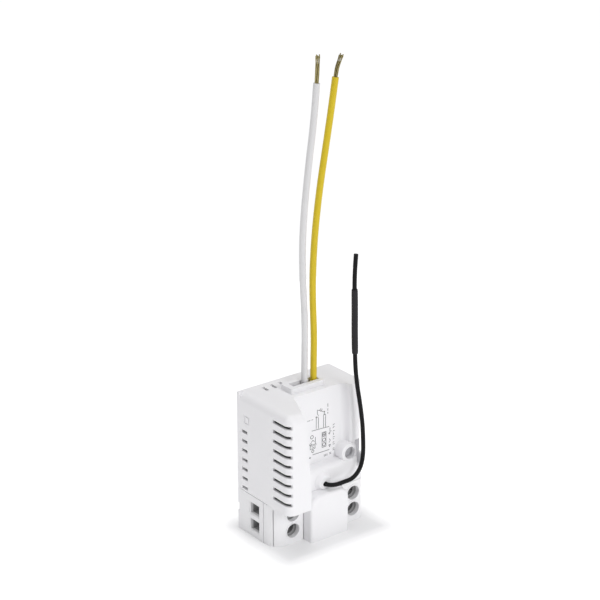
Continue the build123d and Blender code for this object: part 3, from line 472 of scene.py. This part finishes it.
class Nodes:
    # adds nodes to one tree
    def __init__(self, tree):
        self.tree = tree

    def add(self, kind, settings, sockets, output=0):
        node = self.tree.nodes.new(kind)
        for key, value in settings.items():
            setattr(node, key, value)
        for key, value in sockets.items():
            self.join(value, node.inputs[key])
        return Flow(self, node.outputs[output])

    def join(self, value, socket):
        if isinstance(value, Flow):
            self.tree.links.new(value.socket, socket)
        else:
            socket.default_value = value


def asColour(value):
    # three numbers get a full alpha, and a flow stays as it is
    return (*value, 1) if isinstance(value, tuple) else value


noiseMiddle = 0.5

# a colour mix node keeps sockets of several kinds, and these are its colour ones
mixSockets = {"share": 0, "first": 6, "second": 7, "result": 2}


class Finish(Nodes):
    # one material and the nodes that make it
    def __init__(self, name):
        self.material = bpy.data.materials.new(name)
        self.material.use_nodes = True
        super().__init__(self.material.node_tree)
        self.shader = self.tree.nodes["Principled BSDF"]
        self.coordinates = self.add("ShaderNodeTexCoord", {}, {}, "Object")

    def feed(self, colour, roughness, more=None):
        # the shader's own sockets, with anything else by name
        sockets = {"Base Color": colour, "Roughness": roughness}
        sockets.update(more or {})
        for key, value in sockets.items():
            self.join(asColour(value), self.shader.inputs[key])

    def noise(self, scale, detail=2.0, roughness=0.5, place=None):
        return self.add("ShaderNodeTexNoise", {},
                        {"Vector": place or self.coordinates, "Scale": scale, "Detail": detail,
                         "Roughness": roughness}, "Fac")

    def swing(self, noise, amount):
        # how far a noise is from its middle, to either side
        return (noise - noiseMiddle) * amount

    def cells(self, scale, distance="EUCLIDEAN"):
        return self.add("ShaderNodeTexVoronoi", {"feature": "F1", "distance": distance},
                        {"Vector": self.coordinates, "Scale": scale}, "Distance")

    def stretched(self, amounts):
        return self.add("ShaderNodeMapping", {}, {"Vector": self.coordinates, "Scale": amounts})

    def axes(self, letters):
        return [self.add("ShaderNodeSeparateXYZ", {}, {"Vector": self.coordinates}, letter)
                for letter in letters]

    def blend(self, share, first, second):
        return self.add("ShaderNodeMix", {"data_type": "RGBA"},
                        {mixSockets["share"]: share, mixSockets["first"]: asColour(first),
                         mixSockets["second"]: asColour(second)}, mixSockets["result"])

    def bump(self, height, distance, strength):
        normal = self.add("ShaderNodeBump", {},
                          {"Height": height, "Distance": distance, "Strength": strength})
        self.join(normal, self.shader.inputs["Normal"])


def shade(colour, amount):
    return tuple(min(1.0, max(0.0, value * amount)) for value in colour)


moulded = {
    "housing": {"colour": (0.880, 0.876, 0.892), "roughness": 0.50, "grain": 0.0000035, "size": 5200},
    "terminal": {"colour": (0.872, 0.870, 0.882), "roughness": 0.46, "grain": 0.000003, "size": 6000},
    "button": {"colour": (0.405, 0.405, 0.425), "roughness": 0.36, "grain": 0.000002, "size": 7000},
    "relay": {"colour": (0.018, 0.018, 0.020), "roughness": 0.50, "grain": 0.000004, "size": 6000},
    "bobbin": {"colour": (0.560, 0.520, 0.400), "roughness": 0.45, "grain": 0.000003, "size": 5000},
    "switch": {"colour": (0.020, 0.020, 0.021), "roughness": 0.48, "grain": 0.000003, "size": 6000},
    "plunger": {"colour": (0.230, 0.230, 0.235), "roughness": 0.42, "grain": 0.000003, "size": 6000},
    "chip": {"colour": (0.012, 0.012, 0.013), "roughness": 0.58, "grain": 0.000005, "size": 9000},
    "film": {"colour": (0.330, 0.022, 0.015), "roughness": 0.40, "grain": 0.000006, "size": 2500},
    "ferrite": {"colour": (0.028, 0.027, 0.026), "roughness": 0.62, "grain": 0.000008, "size": 4200},
    # the same for all of them
    "flowSize": 90,          # the slow drift of tone through the plastic
    "flowRoughness": 0.55,
    "dark": 0.965,
    "light": 1.025,
    "detail": 3,
    "grainRoughness": 0.6,
    "speckStart": 0.62,      # the grain's peaks are a little darker
    "speckShare": 0.10,
    "speckTone": 0.90,
    "grainShine": 0.10,      # how much the grain and the flow change the roughness
    "flowShine": 0.08,
    "grainHeight": 0.7,
    "cellHeight": 0.3,
    "strength": 0.8,
}


def mouldPlastic(finish, facts):
    # fine spark-eroded grain, a faint flow of tone and shinier patches; gives colour and roughness
    flow = finish.noise(moulded["flowSize"], moulded["detail"], moulded["flowRoughness"])
    grain = finish.noise(facts["size"], moulded["detail"], moulded["grainRoughness"])
    specks = finish.cells(facts["size"] / 2)
    tone = finish.blend(flow, shade(facts["colour"], moulded["dark"]),
                        shade(facts["colour"], moulded["light"]))
    colour = finish.blend((grain > moulded["speckStart"]) * moulded["speckShare"], tone,
                          shade(facts["colour"], moulded["speckTone"]))
    finish.bump(grain * moulded["grainHeight"] + specks * moulded["cellHeight"], facts["grain"],
                moulded["strength"])
    roughness = (facts["roughness"] + finish.swing(grain, moulded["grainShine"])
                 + finish.swing(flow, moulded["flowShine"]))
    return colour, roughness


def makeMoulded(name, facts):
    finish = Finish(name)
    colour, roughness = mouldPlastic(finish, facts)
    finish.feed(colour, roughness)
    return finish.material


# painted shade: the plastic is drawn darker deep in the screw wells and wire entries, where little light
# reaches
wellShade = {
    "front": -0.0052,          # the terminals' front face
    "start": 0.0024,           # the painted shade begins this deep in a well
    "fade": 0.0010,
    "reach": 0.0021,           # round each screw's axis
    "inner": 0.30,             # tone of the painted shade, beside the outside
    # the wire entries' painted shade lies between these, and is a little lighter
    "entryFar": 0.0150,
    "entryNear": 0.0070,
    "entryFront": -0.0040,
    "entryBack": 0.0100,
    "entryLow": 0.0012,
    "entryHigh": 0.0135,
    "entryShare": 0.8,
}


def makeTerminal(name, facts, places):
    # the moulded finish, with painted shade darkening the inside of the screw wells and wire entries
    finish = Finish(name)
    x, y, z = finish.axes("XYZ")
    colour, roughness = mouldPlastic(finish, facts)
    depth = ((y - (wellShade["front"] + wellShade["start"])) / wellShade["fade"]).most(0.0).least(1.0)
    wellShadeMask = 0.0
    for across, height in places:
        far = ((x - across) * (x - across) + (z - height) * (z - height)).root()
        wellShadeMask = wellShadeMask + (far < wellShade["reach"])
    entryShadeMask = (abs(x) < wellShade["entryFar"]) * (abs(x) > wellShade["entryNear"])
    entryShadeMask = entryShadeMask * (y > wellShade["entryFront"]) * (y < wellShade["entryBack"]) * (z > wellShade["entryLow"])
    entryShadeMask = entryShadeMask * wellShade["entryShare"] * (z < wellShade["entryHigh"])
    # painted shade covers the deep part of each well and the wire entries
    inside = (wellShadeMask * depth).most(entryShadeMask).least(1.0)
    finish.feed(finish.blend(inside, colour, shade(facts["colour"], wellShade["inner"])), roughness)
    return finish.material


# painted shade in the vented corner: the housing is drawn darker behind the slots
ventShade = {
    "round": 0.0025,               # of the near corner
    "corner": (-0.0137, -0.0096),  # where that rounding has its axis
    "topStart": 0.0397,            # the top edge's rounding begins here
    "skin": 0.00035,               # the outer skin keeps the plain colour
    "fade": 0.0005,
    "right": -0.0112,              # the painted shade inside ends here on the right,
    "rear": 0.0090,                # at the back
    "low": 0.0145,                 # and below
    "inner": 0.13,                 # tone of the painted shade inside, beside the outside
}


def makeHousing(name, facts):
    # the moulded finish, with painted shade darkening the inside of the vented corner behind its slots
    finish = Finish(name)
    x, y, z = finish.axes("XYZ")
    colour, roughness = mouldPlastic(finish, facts)
    aside = (ventShade["corner"][0] - x).most(0.0)
    before = (ventShade["corner"][1] - y).most(0.0)
    above = (z - ventShade["topStart"]).most(0.0)
    depth = ventShade["round"] - (aside * aside + before * before + above * above).root()
    inside = ((depth - ventShade["skin"]) / ventShade["fade"]).most(0.0).least(1.0)
    inside = inside * (x < ventShade["right"]) * (y < ventShade["rear"]) * (z > ventShade["low"])
    # the painted shade darkens the plastic there
    finish.feed(finish.blend(inside, colour, shade(facts["colour"], ventShade["inner"])), roughness)
    return finish.material


metals = {
    "zinc": {"colour": (0.330, 0.332, 0.330), "roughness": 0.36, "grain": 0.000003},
    "iron": {"colour": (0.430, 0.430, 0.425), "roughness": 0.38, "grain": 0.000004},
    "brass": {"colour": (0.640, 0.500, 0.250), "roughness": 0.30, "grain": 0.000002},
    "shield": {"colour": (0.640, 0.645, 0.640), "roughness": 0.28, "grain": 0.000002},
    # the same for all of them
    "rollSize": 900,
    "rollDetail": 4,
    "rollStretch": (1.0, 0.12, 6.0),
    "cloudSize": 420,
    "cloudDetail": 3,
    "noiseRoughness": 0.6,
    "dark": 0.84,
    "light": 1.10,
    "rollShine": 0.22,
    "cloudShine": 0.12,
    "strength": 0.8,
}


def makeMetal(name, facts):
    # plated sheet: rolling lines along it and cloudy patches of plating
    finish = Finish(name)
    rolling = finish.noise(metals["rollSize"], metals["rollDetail"], metals["noiseRoughness"],
                           finish.stretched(metals["rollStretch"]))
    cloud = finish.noise(metals["cloudSize"], metals["cloudDetail"], metals["noiseRoughness"])
    colour = finish.blend(cloud, shade(facts["colour"], metals["dark"]),
                          shade(facts["colour"], metals["light"]))
    roughness = (facts["roughness"] + finish.swing(rolling, metals["rollShine"])
                 + finish.swing(cloud, metals["cloudShine"]))
    finish.feed(colour, roughness, {"Metallic": 1.0})
    finish.bump(rolling, facts["grain"], metals["strength"])
    return finish.material


screw = {
    "colour": (0.240, 0.240, 0.240),
    "light": 1.12,
    "dark": 0.74,
    "roughness": 0.34,
    "pitch": 0.00012,     # of the turning marks on the head
    "markShine": 0.04,
    "markHeight": 0.5,
    "cloudSize": 800,
    "cloudDetail": 3,
    "cloudRoughness": 0.6,
    "cloudShine": 0.10,
    "cloudTone": 0.7,
    "rimTone": 120,       # darker towards the rim, for each metre from the axis
    "depth": 0.000003,
    "strength": 0.8,
    "places": {"screw_left_low": (-0.0097, 0.0040), "screw_left_high": (-0.0097, 0.00908),
               "screw_right_low": (0.0118, 0.0040), "screw_right_high": (0.0118, 0.00908)},
}


def makeScrewSteel(name, place):
    # turning marks round the screw's own axis, and darker towards the rim
    finish = Finish(name)
    x, z = finish.axes("XZ")
    far = ((x - place[0]) * (x - place[0]) + (z - place[1]) * (z - place[1])).root()
    marks = (far * (2 * math.pi / screw["pitch"])).sine()
    cloud = finish.noise(screw["cloudSize"], screw["cloudDetail"], screw["cloudRoughness"])
    colour = finish.blend(cloud * screw["cloudTone"] + far * screw["rimTone"],
                          shade(screw["colour"], screw["light"]), shade(screw["colour"], screw["dark"]))
    roughness = screw["roughness"] + marks * screw["markShine"] + cloud * screw["cloudShine"]
    finish.feed(colour, roughness, {"Metallic": 1.0})
    finish.bump(marks * screw["markHeight"] + cloud, screw["depth"], screw["strength"])
    return finish.material


windings = {
    "relay_winding": {"axis": "Z", "pitch": 0.00011},
    "inductor_winding": {"axis": "Y", "pitch": 0.00016},
    "colour": (0.500, 0.180, 0.070),
    # dark and light ends of the colour: painted shade in the grooves between turns, painted highlight on
    # their tops, mixed with a cloudy tone
    "dark": 0.45,
    "light": 1.2,
    "ridgeShadeTone": 0.7,
    "cloudTone": 0.3,
    "cloudSize": 700,
    "roughness": 0.36,
    "ridgeShine": 0.08,
    "metallic": 0.85,
    "coat": 0.5,
    "depth": 0.00004,
    "strength": 0.9,
}


def makeWinding(name, facts):
    # each turn of the enamelled wire is a rounded ridge, with painted shade between the turns and a painted
    # highlight on their tops
    finish = Finish(name)
    along = finish.axes(facts["axis"])[0]
    ridge = abs((along * (math.pi / facts["pitch"])).sine())
    cloud = finish.noise(windings["cloudSize"])
    colour = finish.blend(ridge * windings["ridgeShadeTone"] + cloud * windings["cloudTone"],
                          shade(windings["colour"], windings["dark"]),
                          shade(windings["colour"], windings["light"]))
    finish.feed(colour, windings["roughness"] - ridge * windings["ridgeShine"],
                {"Metallic": windings["metallic"], "Coat Weight": windings["coat"]})
    finish.bump(ridge, windings["depth"], windings["strength"])
    return finish.material


board = {
    "mask": (0.012, 0.095, 0.040),
    "trace": (0.022, 0.150, 0.062),
    "size": 420,
    "runs": 3.0,          # copper runs in each cell
    "gapShare": 0.62,     # of the pitch from run to run
    "weaveSize": 3600,
    "roughness": 0.30,
    "weaveShine": 0.14,
    "coat": 0.25,
    "runHeight": 0.7,
    "weaveHeight": 0.3,
    "depth": 0.00002,
    "strength": 0.7,
}


def makeBoard(name):
    # solder mask over copper runs, which show as slightly raised lighter lines
    finish = Finish(name)
    lines = (finish.cells(board["size"], "MANHATTAN") * board["runs"]).part() > board["gapShare"]
    weave = finish.noise(board["weaveSize"])
    finish.feed(finish.blend(lines, board["mask"], board["trace"]),
                board["roughness"] + finish.swing(weave, board["weaveShine"]),
                {"Coat Weight": board["coat"]})
    finish.bump(lines * board["runHeight"] + weave * board["weaveHeight"], board["depth"],
                board["strength"])
    return finish.material


canSleeve = {
    "colour": (0.012, 0.013, 0.022),
    "stripe": (0.45, 0.46, 0.48),
    "middle": -0.0046,
    "stripeStart": -0.0024,    # beside the middle
    "stripeLow": 0.0206,
    "stripeHigh": 0.0291,
    "rippleSize": 500,
    "detail": 3,
    "roughness": 0.24,
    "rippleShine": 0.12,
    "coat": 0.4,
    "depth": 0.00002,
    "strength": 0.6,
}


def makeCanSleeve(name):
    # shrunk sleeve with the pale stripe of the minus side
    finish = Finish(name)
    x, z = finish.axes("XZ")
    stripe = (x - canSleeve["middle"]) < canSleeve["stripeStart"]
    stripe = stripe * (z > canSleeve["stripeLow"]) * (z < canSleeve["stripeHigh"])
    ripple = finish.noise(canSleeve["rippleSize"], canSleeve["detail"])
    finish.feed(finish.blend(stripe, canSleeve["colour"], canSleeve["stripe"]),
                canSleeve["roughness"] + ripple * canSleeve["rippleShine"],
                {"Coat Weight": canSleeve["coat"]})
    finish.bump(ripple, canSleeve["depth"], canSleeve["strength"])
    return finish.material


dipped = {
    "varistor": (0.020, 0.090, 0.330),
    "fuse": (0.075, 0.210, 0.130),
    # the fuse resistor's bands: height and colour
    "fuseBands": [(0.0248, (0.30, 0.12, 0.02)), (0.0259, (0.02, 0.02, 0.02)), (0.0270, (0.55, 0.40, 0.10))],
    "bandHalf": 0.00028,
    "dark": 0.8,
    "light": 1.2,
    "peelSize": 1500,
    "detail": 3,
    "pitSize": 1300,
    "pitEdge": 0.10,
    "pitDepth": 0.6,
    "roughness": 0.26,
    "peelShine": 0.16,
    "coat": 0.5,
    "depth": 0.00003,
    "strength": 0.7,
}


def makeDipped(name, colour, bands):
    # thick dipped coat, orange peel and a few pinholes
    finish = Finish(name)
    z = finish.axes("Z")[0]
    peel = finish.noise(dipped["peelSize"], dipped["detail"])
    pits = finish.cells(dipped["pitSize"]) < dipped["pitEdge"]
    shown = finish.blend(peel, shade(colour, dipped["dark"]), shade(colour, dipped["light"]))
    for height, bandColour in bands:
        shown = finish.blend(abs(z - height) < dipped["bandHalf"], shown, bandColour)
    finish.feed(shown, dipped["roughness"] + peel * dipped["peelShine"], {"Coat Weight": dipped["coat"]})
    finish.bump(peel - pits * dipped["pitDepth"], dipped["depth"], dipped["strength"])
    return finish.material


insulation = {
    "whiteInsulation": {"colour": (0.700, 0.697, 0.703), "roughness": 0.40, "shine": 0.5,
                        "depth": 0.000006},
    "yellowInsulation": {"colour": (0.665, 0.500, 0.013), "roughness": 0.42, "shine": 0.4,
                         "depth": 0.000006},
    "antennaInsulation": {"colour": (0.008, 0.008, 0.009), "roughness": 0.50, "shine": 0.14,
                          "depth": 0.000008},
    "sleeveRubber": {"colour": (0.020, 0.019, 0.022), "roughness": 0.52, "shine": 0.22,
                     "depth": 0.00002},
    # the same for all of them
    "dieSize": 2600,
    "dieDetail": 3,
    "dieRoughness": 0.6,
    "dieStretch": (1.0, 1.0, 0.035),
    "scuffSize": 260,
    "scuffDetail": 4,
    "scuffRoughness": 0.65,
    "scuffStart": 0.60,
    "wornTone": 0.35,
    "scuffTone": 0.25,
    "light": 1.04,
    "dark": 0.90,
    "dieShine": 0.16,
    "wornShine": 0.10,
    "scuffHeight": 0.5,
    "strength": 0.8,
}


def makeInsulation(name):
    # extruded jacket: long faint die lines and small scuffs
    facts = insulation[name]
    finish = Finish(name)
    dieLines = finish.noise(insulation["dieSize"], insulation["dieDetail"], insulation["dieRoughness"],
                            finish.stretched(insulation["dieStretch"]))
    scuffs = finish.noise(insulation["scuffSize"], insulation["scuffDetail"], insulation["scuffRoughness"])
    worn = (scuffs > insulation["scuffStart"]) * dieLines
    colour = finish.blend(worn * insulation["wornTone"] + scuffs * insulation["scuffTone"],
                          shade(facts["colour"], insulation["light"]),
                          shade(facts["colour"], insulation["dark"]))
    roughness = (facts["roughness"] + finish.swing(dieLines, insulation["dieShine"])
                 + worn * insulation["wornShine"])
    finish.feed(colour, roughness, {"Specular IOR Level": facts["shine"]})
    finish.bump(dieLines + scuffs * insulation["scuffHeight"], facts["depth"], insulation["strength"])
    return finish.material


copper = {
    "colour": (0.560, 0.480, 0.220),
    "tarnish": (0.190, 0.165, 0.075),
    "patchSize": 1400,
    "patchDetail": 4,
    "patchRoughness": 0.65,
    "drawnSize": 6000,
    "drawnStretch": (1.0, 1.0, 0.05),
    "roughness": 0.28,
    "patchShine": 0.22,
    "depth": 0.000004,
    "strength": 0.7,
}


def makeStrandCopper(name):
    # bare drawn wire with dull patches
    finish = Finish(name)
    patches = finish.noise(copper["patchSize"], copper["patchDetail"], copper["patchRoughness"])
    drawn = finish.noise(copper["drawnSize"], place=finish.stretched(copper["drawnStretch"]))
    finish.feed(finish.blend(patches, copper["colour"], copper["tarnish"]),
                copper["roughness"] + patches * copper["patchShine"], {"Metallic": 1.0})
    finish.bump(drawn, copper["depth"], copper["strength"])
    return finish.material


ink = {
    "thick": (0.018, 0.018, 0.022),
    "thin": (0.055, 0.055, 0.062),
    "size": 5200,
    "roughness": 0.55,
    "thinShine": 0.1,
    "depth": 0.000002,
    "strength": 0.5,
}


def makeInk(name):
    # dark pad-printed ink, thinner here and there
    finish = Finish(name)
    thin = finish.noise(ink["size"])
    finish.feed(finish.blend(thin, ink["thick"], ink["thin"]), ink["roughness"] + thin * ink["thinShine"])
    finish.bump(thin, ink["depth"], ink["strength"])
    return finish.material


lens = {
    "resin": (0.62, 0.62, 0.58),
    "chip": (0.60, 0.50, 0.12),
    "chipSize": 1500,
    "chipEdge": 0.22,
    "cloudSize": 2400,
    "roughness": 0.16,
    "cloudShine": 0.10,
    "coat": 0.6,
    "depth": 0.000004,
    "strength": 0.5,
}


def makeLens(name):
    # pale resin with small yellowish spots of the chip below
    finish = Finish(name)
    cloud = finish.noise(lens["cloudSize"])
    chip = finish.cells(lens["chipSize"]) < lens["chipEdge"]
    finish.feed(finish.blend(chip, lens["resin"], lens["chip"]),
                lens["roughness"] + cloud * lens["cloudShine"], {"Coat Weight": lens["coat"]})
    finish.bump(cloud, lens["depth"], lens["strength"])
    return finish.material


finishes = {
    "housing_plastic": makeHousing("housingPlastic", moulded["housing"]),
    "terminal_plastic": makeTerminal("terminalPlastic", moulded["terminal"], screw["places"].values()),
    "plated_steel": makeMetal("zincPlate", metals["zinc"]),
    "contact_brass": makeMetal("contactBrass", metals["brass"]),
    "board_laminate": makeBoard("boardLaminate"),
    "relay_plastic": makeMoulded("relayPlastic", moulded["relay"]),
    "bobbin_plastic": makeMoulded("bobbinPlastic", moulded["bobbin"]),
    "soft_iron": makeMetal("softIron", metals["iron"]),
    "can_sleeve": makeCanSleeve("canSleeve"),
    "film_plastic": makeMoulded("filmPlastic", moulded["film"]),
    "varistor_coat": makeDipped("varistorCoat", dipped["varistor"], []),
    "fuse_coat": makeDipped("fuseCoat", dipped["fuse"], dipped["fuseBands"]),
    "ferrite": makeMoulded("ferriteCore", moulded["ferrite"]),
    "chip_plastic": makeMoulded("chipPlastic", moulded["chip"]),
    "light_lens": makeLens("lightLens"),
    "switch_plastic": makeMoulded("switchPlastic", moulded["switch"]),
    "plunger_plastic": makeMoulded("plungerPlastic", moulded["plunger"]),
    "button_plastic": makeMoulded("buttonPlastic", moulded["button"]),
}
ownFinishes = {
    "radio_shield": makeMetal("shieldPlate", metals["shield"]),
    "relay_winding": makeWinding("relayWinding", windings["relay_winding"]),
    "inductor_winding": makeWinding("inductorWinding", windings["inductor_winding"]),
}
for node, place in screw["places"].items():
    ownFinishes[node] = makeScrewSteel("turnedSteel_" + node, place)


def giveFinish(piece, material):
    piece.data.materials.clear()
    piece.data.materials.append(material)


drawnNodes = [node for piece, node in drawnPieces]
for part in frame["record"]["subparts"]:
    node = part["node"]
    if node not in drawnNodes:
        giveFinish(frame["nodes"][node], ownFinishes.get(node) or finishes[part["material_slot"]])

strandCopper = makeStrandCopper("strandCopper")
for piece, slot, material in [
    (whiteLead, "white_insulation", makeInsulation("whiteInsulation")),
    (yellowLead, "yellow_insulation", makeInsulation("yellowInsulation")),
    (antennaWire, "black_insulation", makeInsulation("antennaInsulation")),
    (antennaSleeve, "black_sleeve", makeInsulation("sleeveRubber")),
    (whiteStrands, "strand_copper", strandCopper),
    (yellowStrands, "strand_copper", strandCopper),
    (label, "housing_plastic", makeInk("labelInk")),
]:
    giveFinish(piece, material)
print("finishes given to the solids:", len(finishes) + len(ownFinishes))


# Pale floor, soft studio light

studio = {
    "floorHalf": 0.16,
    "floorAngle": 40,
    "floorColour": (0.90, 0.90, 0.905),
    "paperTone": 0.99,
    "paperSize": 60,
    "paperDetail": 3,
    "roughness": 0.6,
    "paperShine": 0.05,
    "floorGlow": 0.36,
    "shadowGlow": 0.02,      # the floor glows less right beside the body, a painted contact shadow
    "shadeReach": 0.0065,
    "bodyHalf": (0.0162, 0.0121),
    "skyColour": (0.995, 0.992, 1.0),
    "skyLow": 0.15,     # brightness at the horizon
    "skyRise": 0.60,    # and how much is added on the way up
    "below": 1.03,      # as bright as the open floor, so that the floor seems to go on
    "key": {"from": (0.06, -0.88, 0.50), "spread": 24, "strength": 0.97},
    "leftFill": {"from": (-0.90, 0.00, 0.50), "spread": 60, "strength": 0.04},
    "topFill": {"from": (0.00, 0.20, 1.00), "spread": 50, "strength": 0.72},
}


def makeFloor():
    clearAll()
    bpy.ops.mesh.primitive_plane_add(size=2 * studio["floorHalf"], location=(0, 0, 0))
    floor = bpy.context.object
    floor.name = "studioFloor"
    settle(floor, studio["floorAngle"])
    finish = Finish("studioPaper")
    paper = finish.noise(studio["paperSize"], studio["paperDetail"])
    x, y = finish.axes("XY")
    # even glow of the floor, falling off near the body as a painted contact shadow
    aside = (abs(x) - studio["bodyHalf"][0]).most(0.0)
    before = (abs(y) - studio["bodyHalf"][1]).most(0.0)
    far = (aside * aside + before * before).root() / studio["shadeReach"]
    glowAndShadow = far.least(1.0) * (studio["floorGlow"] - studio["shadowGlow"]) + studio["shadowGlow"]
    colour = finish.blend(paper, shade(studio["floorColour"], studio["paperTone"]), studio["floorColour"])
    finish.feed(colour, studio["roughness"] + paper * studio["paperShine"],
                {"Emission Color": finish.blend(glowAndShadow, (0.0, 0.0, 0.0), (1.0, 1.0, 1.0)),
                 "Emission Strength": 1.0})
    giveFinish(floor, finish.material)


def makeLight(name, facts):
    # a broad soft light that shines the same everywhere
    data = bpy.data.lights.new(name, "SUN")
    data.angle = math.radians(facts["spread"])
    data.energy = facts["strength"]
    lamp = bpy.data.objects.new(name, data)
    bpy.context.scene.collection.objects.link(lamp)
    lamp.rotation_euler = Vector(facts["from"]).to_track_quat("Z", "Y").to_euler()


def makeSky():
    # brighter overhead than at the horizon
    world = bpy.data.worlds.new("studioSky")
    world.use_nodes = True
    nodes = Nodes(world.node_tree)
    direction = nodes.add("ShaderNodeTexCoord", {}, {}, "Generated")
    height = nodes.add("ShaderNodeSeparateXYZ", {}, {"Vector": direction}, "Z")
    back = world.node_tree.nodes["Background"]
    back.inputs["Color"].default_value = (*studio["skyColour"], 1)
    above = height.most(0.0) * studio["skyRise"] + studio["skyLow"]
    nodes.join(above + (height < 0.0) * (studio["below"] - studio["skyLow"]), back.inputs["Strength"])
    bpy.context.scene.world = world


makeFloor()
makeLight("keyLight", studio["key"])
makeLight("leftFillLight", studio["leftFill"])
makeLight("topFillLight", studio["topFill"])
makeSky()
bpy.context.scene.view_settings.view_transform = "Standard"
bpy.context.scene.view_settings.look = "None"
print("studio set")

clearAll()
